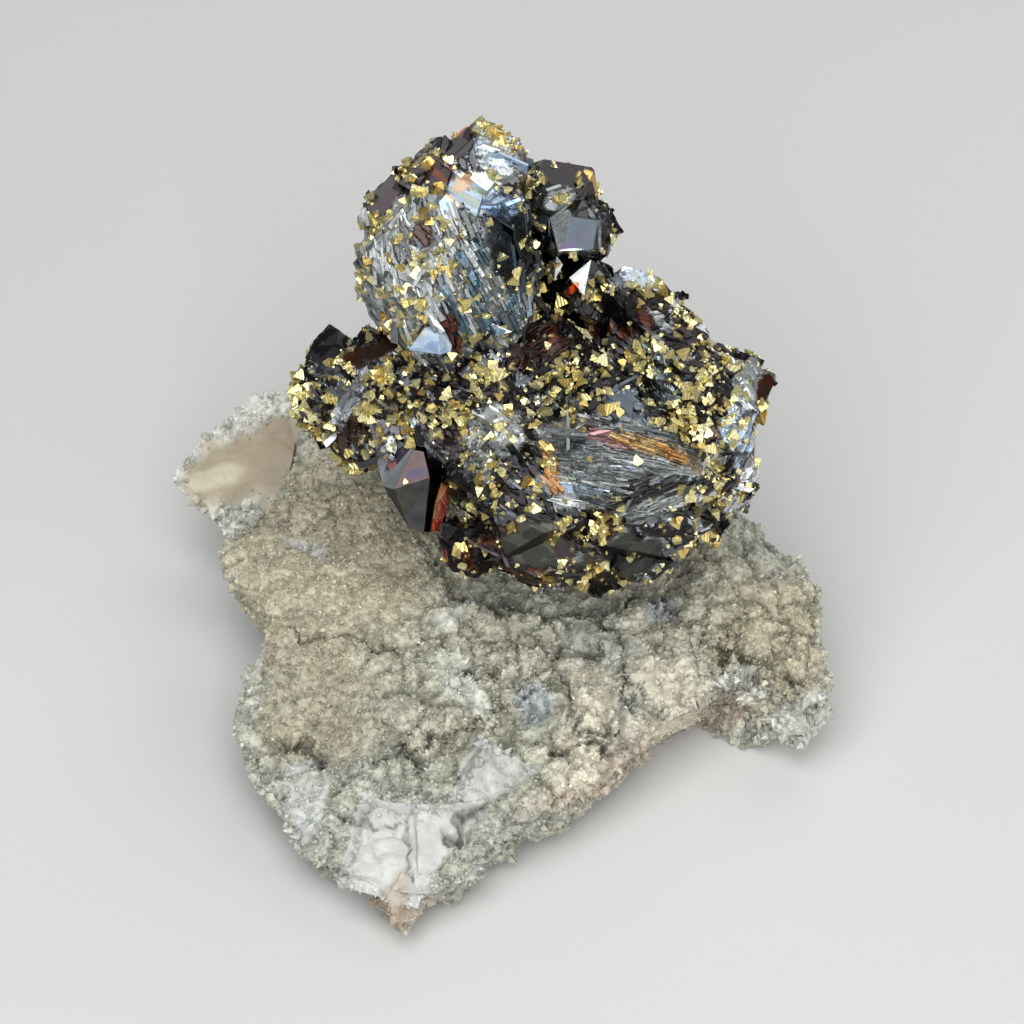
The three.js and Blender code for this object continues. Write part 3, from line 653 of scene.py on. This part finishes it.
def crystalSkin(name, plan):
    look = skinLook
    vertices, faces = refined(*mergedArrays(plan["node"]), plan["longest"] * mm)
    facing, normals = normalsOf(vertices, faces)
    laid, finishAt, keys = layZones(vertices, normals, faces, facing, plan["zones"])
    found, lines = mosaic(vertices, laid["run"], plan["cell"], plan["stretch"])
    crack = np.clip(1 - found[:, 3] / look["crackWide"], 0, 1)
    height = (found[:, 0] - look["levelMiddle"]) * look["level"] + found[:, 2] * look["tilt"]
    height = laid["relief"] * (height - crack * look["crackDeep"])
    tiles = mosaic(vertices[faces].mean(axis=1), finishAt["run"], plan["cell"], plan["stretch"])[0]
    # a random share of the steps takes the second tone; where that tone is lighter, it is a painted
    # reflection of steps that catch the light
    bright = (tiles[:, 0] < finishAt["share"])[:, None]
    tone = np.where(bright, finishAt["shine"], finishAt["tone"])
    rough = np.clip(finishAt["relief"] * look["roughFrom"], 0, 1)
    # painted shade in the cracks between the steps, where the relief is rough
    jointShade = 1 - look["jointShadeStrength"] * rough * np.clip(1 - tiles[:, 3] / look["jointWide"], 0, 1)
    # each step and each flat facet is made lighter or darker at random: painted reflections of faces turned
    # at different angles to the lamps
    paintedStepGlint = look["tileFrom"] + look["tileRange"] * tiles[:, 1]
    paintedFacetGlint = look["facetFrom"] + look["facetRange"] * ((keys * look["facetStep"]) % 1.0)
    tone = tone * (jointShade * (paintedStepGlint * rough + paintedFacetGlint * (1 - rough)))[:, None]
    clumps = np.array([noise.noise(Vector(p) / (look["clumpSize"] * mm)) for p in vertices])
    gold = laid["gold"] * np.clip(look["clumpFrom"] + look["clumpGain"] * clumps, *look["clumpLimits"])
    silky = np.clip((laid["lines"] - look["fibreFrom"]) / look["fibreFade"], 0, 1) * plan["fibres"]
    angle = np.radians(laid["run"])
    run = np.cos(angle)[:, None] * across + np.sin(angle)[:, None] * upward
    attributes = dict(tone=tone, gold=gold, plates=laid["plates"] * (1 - look["fibreThins"] * silky),
                      fibres=laid["plates"] * silky, run=run, out=facing, lines=lines, ruled=laid["lines"],
                      metal=laid["metal"])
    return skinPiece(name, vertices + normals * (height * mm)[:, None], faces, plan["finish"], attributes)


# each zone: its middle, reach and turn in the picture, its tone, another tone and the share of steps that
# have it, chalcopyrite, plates, relief in mm, the way the steps run, how ruled and how metallic it is
towerZones = [
    zone((0, 0), (1, 1), 0, "slate", "steel", 0.3, 1.2, 0.12, 0.5, -75),
    zone((398, 280), (50, 84), 0, "silver", "white", 0.35, 1.7, 1.5, 0.7, -80, 0.7, 0.55),
    zone((440, 250), (42, 60), 0, "steel", "silver", 0.5, 2.1, 1.1, 0.7, -66, 0.6, 0.6),
    zone((482, 300), (42, 55), 0, "sea", "silver", 0.6, 1.7, 2.4, 0.8, -57, 0.8, 0.6),
    # the right side of the tower, painted nearly black as its shaded side
    zone((512, 243), (24, 50), 8, "teal", "black", 0.4, 0.35, 0.3, 0.3, -60, 0.4),
    zone((420, 238), (14, 12), 0, "brown", "slate", 0.2, 0.6, 0.1, 0.3),
    zone((385, 190), (34, 17), 42, "plum", "charcoal", 0.3, 0.2, run=40),
    zone((440, 178), (22, 12), 10, "plum", "rust", 0.15, 0.5),
    zone((427, 162), (50, 8), 20, "plum", "gilt", 0.2, 3.2),
    zone((460, 138), (27, 17), 40, "charcoal", "plum", 0.3, 0.05),
    zone((461, 127), (14, 5), 38, "amber", "ember", 0.3, 0, metal=0.6),
    zone((500, 158), (28, 22), -60, "silver", "ice", 0.4, 1.4, 0.8, 0.4, -20, 0.3),
    zone((500, 124), (34, 24), -40, "silver", "gilt", 0.3, 3, 0, 0.3),
    zone((474, 192), (26, 20), -20, "pearl", "ice", 0.3, 0.15, 0.03, 0.05, -30, 0.1),
    zone((465, 181), (13, 9), 30, "peach", "pearl", 0.3, 0.1),
    zone((449, 202), (13, 9), 0, "sky", "peach", 0.4, 0.2),
    zone((503, 205), (16, 14), 15, "sky", "ice", 0.5, 0.3, 1.2, 0.5, 20, 0.6),
    zone((452, 332), (9, 26), 20, "rust", "black", 0.5, 0.3, 0.2, 0.4),
    zone((372, 312), (16, 17), 0, "silver", "steel", 0.4, 0.1, 0.5, 0.2, -60, 0.6, 0.5)]
summitZones = [
    zone((0, 0), (1, 1), 0, "charcoal", "slate", 0.3, 0.6, 0.1, 0.2, 45),
    # the left side, in the cleft beside the tower, painted black as shade
    zone((540, 240), (26, 60), 0, "black", "teal", 0.35, 0.7, 0.05, 0.2, 60, 0.2),
    zone((562, 172), (30, 20), -20, "charcoal", "plum", 0.3, 0.4),
    zone((592, 184), (18, 10), -40, "plum", "gilt", 0.2, 2.6),
    zone((560, 198), (16, 10), 20, "steel", "silver", 0.5, 1.4, 0.4, 0.4, 35, 0.4, 0.6),
    facet((556, 224), "steel", "silver", 0.35, 0.05, 1, 40, 0.5),
    facet((547, 243), "slate", "charcoal", 0.3, 0.1),
    facet((580, 230), "deep", "violet", 0.3, 0, 0.12, 40),
    facet((606, 226), "charcoal", "slate", 0.4, 0.1, 0.9, -80),
    # thin silver and white strips along the edges: painted highlights
    zone((600, 236), (1.6, 20), 0, "steel", "silver", 0.4, 0, 0, 0),
    zone((578, 252), (20, 2.5), 0, "silver", "white", 0.3, 0, 0, 0),
    zone((616, 243), (3, 11), -20, "silver", "white", 0.3, 0, 0, 0),
    zone((577, 266), (26, 11), 0, "black", "moss", 0.25, 0.05, 0, 0.2),
    # small white and silver facets: painted reflections
    facet((584, 278), "white", "silver", 0.4, 0.02, 0.6, 50, 0.5),
    facet((556, 266), "silver", "pearl", 0.3, 0.02, 0.4, 60, 0.5),
    zone((572, 289), (4, 9), -45, "ember", "rust", 0.5, 0),
    zone((604, 292), (20, 16), -40, "charcoal", "silver", 0.3, 2, 0.4, 0.4, -65, 0.4)]
clusterZones = [
    zone((0, 0), (1, 1), 0, "charcoal", "steel", 0.3, 1.5, 0.5, 0.55, -40),
    # left lobe
    zone((345, 400), (60, 75), 0, "charcoal", "steel", 0.3, 2.4, 0.6, 0.6, -50),
    zone((330, 347), (22, 17), 10, "slate", "charcoal", 0.4, 0.2, run=20),
    zone((325, 370), (16, 6), 0, "steel", "slate", 0.4, 0.3),
    zone((362, 425), (40, 30), 0, "brown", "steel", 0.2, 1.8, 0.3, 0.6),
    zone((352, 395), (11, 34), -30, "silver", "steel", 0.5, 1, 1.2, 0.4, 50, 0.4, 0.5),
    # middle
    zone((440, 400), (80, 55), 0, "plum", "steel", 0.35, 2.5, 0.6, 0.6, -30),
    zone((400, 435), (30, 28), 0, "slate", "silver", 0.45, 2.4, 1.2, 0.5, -70),
    zone((372, 352), (28, 10), 20, "rust", "brown", 0.5, 0.5),
    zone((495, 432), (32, 24), 20, "silver", "white", 0.5, 1.1, 1.4, 0.5, -40, 0.3, 0.5),
    zone((480, 470), (44, 30), 0, "slate", "silver", 0.4, 1.6, 1.6, 0.6, -30, 0.4),
    zone((500, 510), (55, 30), 0, "charcoal", "slate", 0.45, 1.6, 0.9, 0.5, -35, 0.4),
    # the cleft and the hollow below the summit: their black is painted shade, their brown and rust are
    # their own colour
    zone((525, 300), (30, 70), 15, "black", "teal", 0.3, 0.6, 0.05, 0.3),
    zone((545, 350), (38, 28), 35, "brown", "rust", 0.4, 0.7, 0.3, 0.5, 40, 0.8),
    zone((604, 322), (50, 30), 0, "black", "rust", 0.12, 0.3, 0, 0.3),
    zone((638, 318), (20, 28), -20, "black", "rust", 0.35, 0.15, 0, 0.3),
    zone((572, 395), (62, 42), 0, "charcoal", "steel", 0.25, 2.6, 0.5, 0.6, 30),
    # right wing
    zone((690, 385), (75, 42), -30, "charcoal", "haze", 0.25, 2.4, 0.5, 0.5, -25),
    zone((700, 330), (85, 14), -40, "plum", "silver", 0.2, 3, 0.1, 0.3, -40),
    zone((639, 272), (20, 11), -30, "silver", "ice", 0.5, 0.6, 0.1, 0.1, metal=0.5),
    zone((660, 305), (11, 26), 20, "silver", "charcoal", 0.4, 1.2, 0.2, 0.3),
    zone((725, 460), (50, 58), -15, "black", "silver", 0.5, 2.4, 3.2, 0.7, 50, 0, 0.6),
    zone((700, 420), (40, 26), 0, "brown", "charcoal", 0.3, 3.6, 0.5, 0.6),
    zone((745, 430), (24, 34), 0, "slate", "ice", 0.5, 1.4, 3.2, 0.7, 60, 0, 0.5),
    zone((752, 388), (18, 24), -20, "silver", "white", 0.35, 1, 1.6, 0.5, metal=0.6),
    zone((766, 388), (9, 15), -10, "rust", "brown", 0.5, 0.1),
    zone((628, 412), (24, 20), -40, "dusk", "slate", 0.4, 0.6),
    # fibrous middle of the front
    zone((620, 455), (80, 36), -10, "steel", "silver", 0.45, 0.4, 2, 0.4, -15, 0.8, 0.6),
    zone((588, 478), (46, 30), 8, "silver", "ice", 0.3, 0.1, 1.8, 0.3, -8, 0.9, 0.5),
    zone((612, 440), (34, 8), -12, "rose", "amber", 0.3, 0.15, 2, 0.3, -16, 0.9, 0.4),
    zone((655, 449), (40, 9), -20, "gilt", "amber", 0.4, 0.4, 2.4, 0.3, -24, 1, 0.6),
    zone((552, 468), (8, 28), 5, "amber", "rose", 0.4, 1.2, 1.2, 0.5, -60, 0.6, 0.5),
    zone((650, 487), (42, 12), 10, "black", "silver", 0.4, 0.2, 1.6, 0.4, 14, 1, 0.6),
    zone((655, 508), (38, 10), 16, "silver", "steel", 0.4, 0.2, 2, 0.3, 18, 1, 0.5),
    # smooth lower front
    zone((500, 552), (60, 30), -12, "plum", "rust", 0.25, 0.3, 0.2, 0.3, -25, 0.8),
    zone((540, 545), (36, 24), 0, "moss", "graphite", 0.4, 0.15, 0, 0, 10, 0.2),
    zone((620, 560), (45, 22), 14, "moss", "charcoal", 0.4, 0.4, 0, 0, 20, 0.3),
    zone((562, 545), (9, 22), 10, "brown", "plum", 0.4, 2.4, 0, 0.2),
    zone((602, 530), (24, 14), 20, "brown", "charcoal", 0.4, 3.6, 0, 0.3),
    zone((596, 570), (9, 22), 0, "brown", "plum", 0.3, 2.4, 0, 0.2),
    # a black band along the lower edge: the painted shadow of the undercut
    zone((540, 590), (90, 11), -2, "black", "charcoal", 0.2, 0.9, 0, 0.2),
    zone((462, 560), (18, 22), 20, "plum", "rust", 0.3, 1.8, 0.1, 0.4),
    # the recess beside the hanging crystal, painted black as shade
    zone((452, 505), (20, 46), 10, "black", "charcoal", 0.2, 0.3, 0, 0.3, 70, 0.2)]
rubyZones = [
    zone((0, 0), (1, 1), 0, "charcoal", "black", 0.3, 0.1, run=80),
    facet((386, 466), "steel", "haze", 0.5, 0.05, 0.2, 65, 0.25),
    facet((398, 469), "steel", "haze", 0.5, 0.05, 0.2, 65, 0.25),
    facet((394, 498), "graphite", "charcoal", 0.4, 0, 0.8, -60, 0.6),
    facet((409, 474), "brown", "mauve", 0.35, 0.5),
    facet((411, 508), "graphite", "slate", 0.35, 0.06),
    # a black facet in the recess beside the crystal: painted shade
    facet((434, 505), "black", "charcoal", 0.2),
    zone((399, 456), (5, 20), -38, "violet", "rose", 0.3, 0.2, metal=0.5),
    zone((417, 473), (12, 5), 20, "violet", "mauve", 0.4, 0.3),
    # red and amber streaks: the red of the sphalerite, with a painted glow of light reflected inside it
    zone((441, 503), (6, 33), -14, "ember", "amber", 0.3, 0, 0, 0.3, 62, 1, 0.35)]
pyramidZones = [
    zone((0, 0), (1, 1), 0, "ice", "sky", 0.4, run=0, metal=0.25),
    facet((428, 340), "ice", "sky", 0.25, metal=0.15),
    facet((446, 340), "white", "ice", 0.3, metal=0.2),
    zone((436, 346), (11, 6), 0, "sky", "ice", 0.3, metal=0.3),
    # a white spot: a painted highlight
    zone((420, 334), (9, 5), 40, "white", "ice", 0.5, metal=0.2)]
plateFinish = dict(Shapes=plateShapes, Share="plates", Amount=1.8e6, Smallest=(0.3, 0.10, 0.14),
                   Largest=(1.5, 0.34, 0.36), Skew=2.0, Lean=(0.14, 0.12, 0.10))
barFinish = dict(plateFinish, Smallest=(0.8, 0.14, 0.16), Largest=(2.6, 0.34, 0.42), Skew=1.6,
                 Lean=(0.14, 0.07, 0.09))
fibreFinish = dict(plateFinish, Share="fibres", Amount=6.8e6, Smallest=(0.7, 0.05, 0.10),
                   Largest=(2.9, 0.13, 0.20), Skew=1.5, Lean=(0.08, 0.06, 0.07))
brassLarge = dict(Shapes=wedgeShapes, Share="gold", Amount=0.66e6, Smallest=(0.17,) * 3,
                  Largest=(0.50,) * 3, Skew=1.5, Lean=(0.8, 0.8, 3.14))
brassSmall = dict(Shapes=wedgeShapes, Share="gold", Amount=0.85e6, Smallest=(0.07,) * 3,
                  Largest=(0.19,) * 3, Skew=1.2, Lean=(1.2, 1.2, 3.14))
# longest side, size and stretch of the steps in mm, and what grows on the skin
skinBase = dict(finish=mirrorFinish, plates=None, brass=True, fibres=False)
skinPlan = {
    "tower_skin": dict(skinBase, node="tower_crystal", zones=towerZones, longest=0.24, cell=0.55,
                       stretch=3.6, finish=facetFinish, plates=barFinish),
    "summit_skin": dict(skinBase, node="summit_crystal", zones=summitZones, longest=0.22, cell=0.6,
                        stretch=2.6, plates=plateFinish),
    "cluster_skin": dict(skinBase, node="intergrown_crystals", zones=clusterZones, longest=0.34, cell=0.62,
                         stretch=2.2, finish=facetFinish, plates=plateFinish, fibres=True),
    "ruby_skin": dict(skinBase, node="ruby_crystal", zones=rubyZones, longest=0.15, cell=0.8, stretch=2.6),
    "pyramid_skin": dict(skinBase, node="pyramid_crystal", zones=pyramidZones, longest=0.15, cell=0.9,
                         stretch=1.0, brass=False)}
firstSeed, seedStep = 41, 7

for order, (name, plan) in enumerate(skinPlan.items()):
    skin = crystalSkin(name, plan)
    tellFrame(skin, "sphalerite", plan["node"])
    growths = (("plates", runTree, plan["plates"], plan["finish"], "sphalerite"),
               ("brass", freeTree, plan["brass"] and brassLarge, brassFinish, "chalcopyrite"),
               ("brass_fine", freeTree, plan["brass"] and brassSmall, brassFinish, "chalcopyrite"),
               ("fibres", runTree, plan["fibres"] and fibreFinish, plan["finish"], "sphalerite"))
    for turn, (kind, tree, settings, paint, slot) in enumerate(growths):
        if settings:
            seed = firstSeed + order * seedStep + turn
            grown = scatter(plan["node"] + "_" + kind, skin, tree, Seed=seed, Finish=paint, **settings)
            tellFrame(grown, slot)
print("sphalerite and chalcopyrite grown")


# druse plate

stoneTones = dict(beige=(0.42, 0.385, 0.275), sand=(0.36, 0.335, 0.24), olive=(0.44, 0.43, 0.335),
                  grey=(0.42, 0.415, 0.345), bluish=(0.37, 0.39, 0.385), chalk=(0.5, 0.51, 0.475),
                  cream=(0.6, 0.56, 0.44), pinkish=(0.46, 0.39, 0.31), tan=(0.29, 0.235, 0.155),
                  dark=(0.06, 0.054, 0.043), frost=(0.54, 0.54, 0.48), snow=(0.68, 0.67, 0.585),
                  clay=(0.36, 0.295, 0.225))


def patch(at, reach, turn, tone, points=1.0, relief=1.0):
    return dict(at=at, reach=reach, turn=turn, tone=stoneTones[tone], points=points, relief=relief)


# how the borders of the patches and the crevices waver and fade
patchBorders = dict(swaySize=2.0, sway=16, soft=0.5, creaseSize=0.8, creaseSway=12)


def layPatches(points, normals, patches):
    sway = wobbleOf(points, patchBorders["swaySize"]) * patchBorders["sway"]
    laid = {key: np.repeat(np.atleast_2d(patches[0][key]), len(points), axis=0).astype(float)
            for key in ("tone", "points", "relief")}
    for spot in patches[1:]:
        weight = ovalWeight(points, normals, spot, sway, patchBorders["soft"])[:, None]
        for key in laid:
            laid[key] += (np.atleast_2d(spot[key]) - laid[key]) * weight
    return laid["tone"], laid["points"][:, 0], laid["relief"][:, 0]


def creaseOf(points, creases):
    # how deep in a crevice each point lies, from 0 to 1
    x, y = pictureOf(points)
    sway = wobbleOf(points, patchBorders["creaseSize"]) * patchBorders["creaseSway"]
    x, y = x + sway[:, 0], y + sway[:, 1]
    deep = np.zeros(len(points))
    for wide, strength, route in creases:
        for (ax, ay), (bx, by) in zip(route, route[1:]):
            reach = (bx - ax) ** 2 + (by - ay) ** 2
            t = np.clip(((x - ax) * (bx - ax) + (y - ay) * (by - ay)) / reach, 0, 1)
            gap = np.hypot(x - ax - t * (bx - ax), y - ay - t * (by - ay))
            deep = np.maximum(deep, strength * np.clip(1 - gap / wide, 0, 1))
    return deep


# sizes and heights in mm, and shares from 0 to 1
plateLook = dict(longest=0.305, lump=2.2, lumpHeight=0.60, lumpFrom=0.45, lumpSway=0.45, swaySize=1.9,
                 gap=0.30, gapDepth=0.30, gapShadeGain=0.9, grain=0.62, grainFrom=0.35, grainHeight=0.16,
                 grainGap=0.16, grainSoft=0.32, fineGrain=0.34, fineHeight=0.08, creaseDepth=1.0,
                 creaseShade=0.9, creaseBare=0.8, footClear=0.5, soft=0.9, softHeight=0.16, leastRelief=0.1,
                 gapShadeStrength=0.42, blockFlat=0.8, blockCracks=0.85, blockBare=1.3, blockRim=0.7,
                 leastSugar=0.12, frontFrom=0.35, backPoints=0.15, rimBelow=0.85, rimFade=0.25,
                 rimAbove=0.3)
# carbonate blocks: middle, size, the way a face looks, the way up, stretch, tone and how smooth they are
blockFit = dict(share=0.82, reach=1.16, fade=0.06, rimFrom=0.72, rimFade=0.2)
carbonateBlocks = [
    ((-9, -13.8, 2.2), 3.0, (0.1, -0.5, 0.9), (0.2, 1, 0), (1.05, 1.35, 0.75), "chalk", 0.85),
    ((-5.9, -13, 2.2), 2.5, (0.3, -0.5, 0.8), (-0.2, 1, 0), (1, 1.3, 0.85), "chalk", 0.75),
    ((-14.6, -9.6, 2.8), 1.8, (-0.3, -0.4, 0.9), (-0.2, 1, 0), (0.9, 1.5, 0.8), "chalk", 0.80),
    ((-2.6, -9, 3.2), 2.4, (0.2, -0.5, 0.8), (0.4, 1, 0), (1, 1.2, 0.8), "chalk", 0.70),
    ((3.4, -4.6, 4.2), 2.1, (0.3, -0.6, 0.7), (0.2, 1, 0), (0.9, 1.2, 0.9), "cream", 0.35),
    ((7.6, -2.6, 4), 2.6, (-0.1, -0.5, 0.9), (-0.5, 1, 0), (1.2, 1, 0.9), "cream", 0.35),
    ((-5.4, -1.6, 6.2), 1.2, (0.2, -0.2, 1), (0.3, 1, 0), (1, 1, 1), "snow", 0.4),
    ((-8.4, -17.6, 1.6), 1.7, (0.3, -0.6, 0.8), (0.5, 1, 0), (0.8, 1.2, 0.8), "clay", 0.4),
    ((17.6, -2.6, 3), 1.8, (0.5, -0.3, 0.9), (0.6, 1, 0), (1, 1, 0.8), "frost", 0.3)]


def blockCover(points, block):
    # how surely each point is on this block, and how near one of its edges it is
    middle, size, ahead, up, stretch, _, _ = block
    z = Vector(ahead).normalized()
    x = Vector(up).cross(z).normalized()
    turned = ((points / mm - np.array(middle)) / np.array(stretch)) @ np.array((x, z.cross(x), z)).T
    share = np.sort(np.abs(turned) / (size * blockFit["share"]), axis=1)
    return (np.clip((blockFit["reach"] - share[:, 2]) / blockFit["fade"], 0, 1),
            np.clip((share[:, 1] - blockFit["rimFrom"]) / blockFit["rimFade"], 0, 1))


# each patch: its middle, reach and turn in the picture, its tone, its quartz points and its relief
platePatches = [patch(*row) for row in (
    ((0, 0), (1, 1), 0, "grey"), ((330, 570), (115, 125), 0, "beige", 1, 0.45),
    ((330, 690), (95, 66), 20, "sand", 1, 0.35), ((250, 690), (15, 62), 0, "grey", 1, 0.8),
    ((470, 690), (100, 90), 0, "olive", 1, 1.3), ((560, 740), (80, 60), 0, "olive", 1, 1.3),
    ((700, 600), (80, 60), -20, "olive", 1, 1.2), ((770, 640), (60, 70), 0, "beige", 1, 1.2),
    ((535, 705), (15, 26), 20, "bluish", 0.9), ((304, 806), (18, 36), 14, "chalk", 0.7, 0.5),
    ((450, 622), (15, 15), 0, "snow", 0.8, 0.8), ((464, 686), (22, 16), -30, "frost", 0.8, 0.8),
    ((665, 602), (16, 13), 30, "bluish", 1), ((455, 565), (40, 14), -20, "olive", 0.9),
    ((305, 548), (24, 7), -25, "frost", 0.8), ((300, 500), (50, 30), 0, "beige"),
    ((735, 690), (30, 16), 0, "frost", 1), ((600, 770), (70, 22), 30, "pinkish", 1.2),
    ((700, 720), (50, 16), 20, "pinkish", 1.2), ((395, 905), (26, 26), 0, "clay", 1.2),
    ((815, 720), (24, 30), 0, "frost", 1.2), ((597, 697), (24, 33), 15, "cream", 1, 0.9),
    ((668, 684), (40, 29), -20, "cream", 1, 0.9), ((578, 766), (30, 20), 15, "cream", 1, 1))]
# crevices, painted dark as the shade that falls in them; the first runs under the front of the crystal
# cluster as its painted shadow. Each: half its width in pixels, how deep it is, and its path through the
# picture
plateCreases = [
    (11, 0.9, ((452, 586), (500, 604), (560, 612), (606, 606), (650, 590))),
    (9, 1, ((276, 746), (300, 742), (318, 764))), (8, 1, ((402, 748), (424, 764))),
    (3, 0.5, ((330, 792), (362, 770), (377, 758))),
    (3.5, 0.9, ((377, 758), (399, 754), (424, 745), (449, 736))),
    (3, 0.5, ((449, 736), (500, 708), (545, 690))),
    (3, 0.7, ((288, 630), (313, 638), (349, 634), (374, 643), (402, 655))),
    (10, 1, ((588, 612), (606, 628), (628, 642))), (8, 0.9, ((700, 640), (722, 648), (742, 656))),
    (8, 1, ((452, 838), (460, 820), (476, 808))), (3, 0.7, ((345, 823), (405, 824))),
    (3, 0.7, ((408, 812), (406, 850), (415, 880))),
    (6, 0.9, ((562, 668), (566, 700), (584, 730), (612, 730))),
    (5, 0.8, ((624, 650), (622, 690), (640, 716))),
    (5, 0.8, ((546, 738), (560, 748), (590, 742), (606, 754))),
    (6, 0.8, ((688, 560), (668, 596), (676, 628))),
    (5, 0.8, ((455, 668), (470, 677), (486, 673), (502, 664))),
    (6, 0.8, ((722, 652), (746, 672), (768, 668))), (5, 0.6, ((440, 560), (470, 600), (520, 612))),
    (7, 0.9, ((786, 676), (798, 690))), (5, 0.8, ((520, 642), (560, 654), (600, 650)))]


def druseSkin(name, node, patches, creases, blocks, look, finish):
    vertices, faces = refined(*mergedArrays(node), look["longest"] * mm)
    facing, normals = normalsOf(vertices, faces)
    tone, points, relief = layPatches(vertices, normals, patches)
    calm = np.zeros(len(vertices))
    for block in blocks:
        on, edge = blockCover(vertices, block)
        smooth = on * block[6]
        calm = np.maximum(calm, smooth)
        tone += (np.array(stoneTones[block[5]]) - tone) * np.sqrt(smooth)[:, None]
        relief = relief * (1 - smooth * look["blockFlat"])
        bare = np.minimum(smooth * look["blockBare"], 1)
        points = points * (1 - bare * (1 - look["blockRim"] * edge))
    crease = creaseOf(vertices, creases) * (normals @ outward > 0)
    height = np.empty(len(vertices))
    gapShade = np.empty(len(vertices))
    for i, p in enumerate(vertices / mm):
        spot = Vector(p)
        sway = noise.noise_vector(spot / look["swaySize"]) * look["lumpSway"]
        near = noise.voronoi(spot / look["lump"] + sway)[0]
        gap = max(0.0, look["gap"] - (near[1] - near[0])) / look["gap"]
        lump = (look["lumpFrom"] - near[0]) * look["lumpHeight"] - look["gapDepth"] * gap * gap
        grain = noise.voronoi(spot / look["grain"])[0]
        fine = noise.voronoi(spot / look["fineGrain"])[0][0]
        jointShade = max(0.0, look["grainGap"] - (grain[1] - grain[0])) / look["grainSoft"]
        gapShade[i] = min(1.0, jointShade + gap * gap * look["gapShadeGain"])
        height[i] = lump + (look["grainFrom"] - grain[0]) * look["grainHeight"]
        height[i] += (look["grainFrom"] - fine) * look["fineHeight"]
    clear = np.clip(vertices[:, 2] / mm / look["footClear"], 0, 1)
    soft = np.array([noise.noise(Vector(p) / look["soft"]) for p in vertices / mm]) * calm
    height += soft * look["softHeight"] / np.maximum(relief, look["leastRelief"])
    height = height * relief - crease * look["creaseDepth"] * (1 - look["blockCracks"] * calm)
    # painted shade in the gaps between the lumps and the grains
    tone = tone * (1 - look["gapShadeStrength"] * np.clip(gapShade * relief, 0, 1))[:, None]
    # painted shade in the crevices, which includes the painted shadow under the front of the crystal
    # cluster
    tone += (np.array(stoneTones["dark"]) - tone) * (crease * look["creaseShade"])[:, None]
    front = np.clip(look["frontFrom"] + normals @ outward, look["backPoints"], 1)
    cover = points * (1 - look["creaseBare"] * crease) * clear * front
    steep = np.clip((look["rimBelow"] - normals[:, 2]) / look["rimFade"], 0, 1)
    rim = clear * points * steep * np.clip((normals[:, 2] + look["rimAbove"]) / look["rimAbove"], 0, 1)
    sugar = np.clip(points, look["leastSugar"], 1)
    attributes = dict(tone=tone, points=cover, rim=rim, sugar=sugar)
    return skinPiece(name, vertices + normals * (height * clear * mm)[:, None], faces, finish, attributes)


plate = druseSkin("druse_skin", "druzy_plate", platePatches, plateCreases, carbonateBlocks, plateLook,
                  druseFinish)
tellFrame(plate, "druse", "druzy_plate")

ledgeLook = dict(plateLook, longest=0.30, lumpHeight=0.18)
ledgePatches = [
    patch((0, 0), (1, 1), 0, "frost", 1, 0.8),
    patch((243, 468), (60, 34), 22, "tan", 0, 0.1),
    patch((285, 440), (20, 20), 0, "tan", 0, 0.15),
    patch((215, 480), (26, 12), 10, "beige", 0, 0.15)]
ledge = druseSkin("ledge_skin", "carbonate_ledge", ledgePatches, [], [], ledgeLook, carbonateFinish)
tellFrame(ledge, "carbonate", "carbonate_ledge")

quartzPoints = dict(Shapes=quartzShapes, Share="points", Amount=8.2e6, Smallest=(0.16,) * 3,
                    Largest=(0.42,) * 3, Skew=1.5, Lean=(0.65, 0.65, 3.14), Finish=pointFinish)
rimPoints = dict(quartzPoints, Share="rim", Amount=4.5e6, Smallest=(0.32,) * 3,
                 Largest=(0.80, 0.80, 1.1), Lean=(0.5, 0.5, 3.14))
growths = (("quartz_points", plate, "druse", 301, quartzPoints),
           ("ledge_points", ledge, "carbonate", 307, quartzPoints),
           ("rim_points", plate, "druse", 311, rimPoints),
           ("ledge_rim_points", ledge, "carbonate", 313, rimPoints))
for name, carrier, slot, seed, settings in growths:
    tellFrame(scatter(name, carrier, freeTree, Seed=seed, **settings), slot)
print("druse grown")

for group in (wedgeShapes, plateShapes, quartzShapes):
    for shape in list(group.objects):
        bpy.data.objects.remove(shape)
    bpy.data.collections.remove(group)
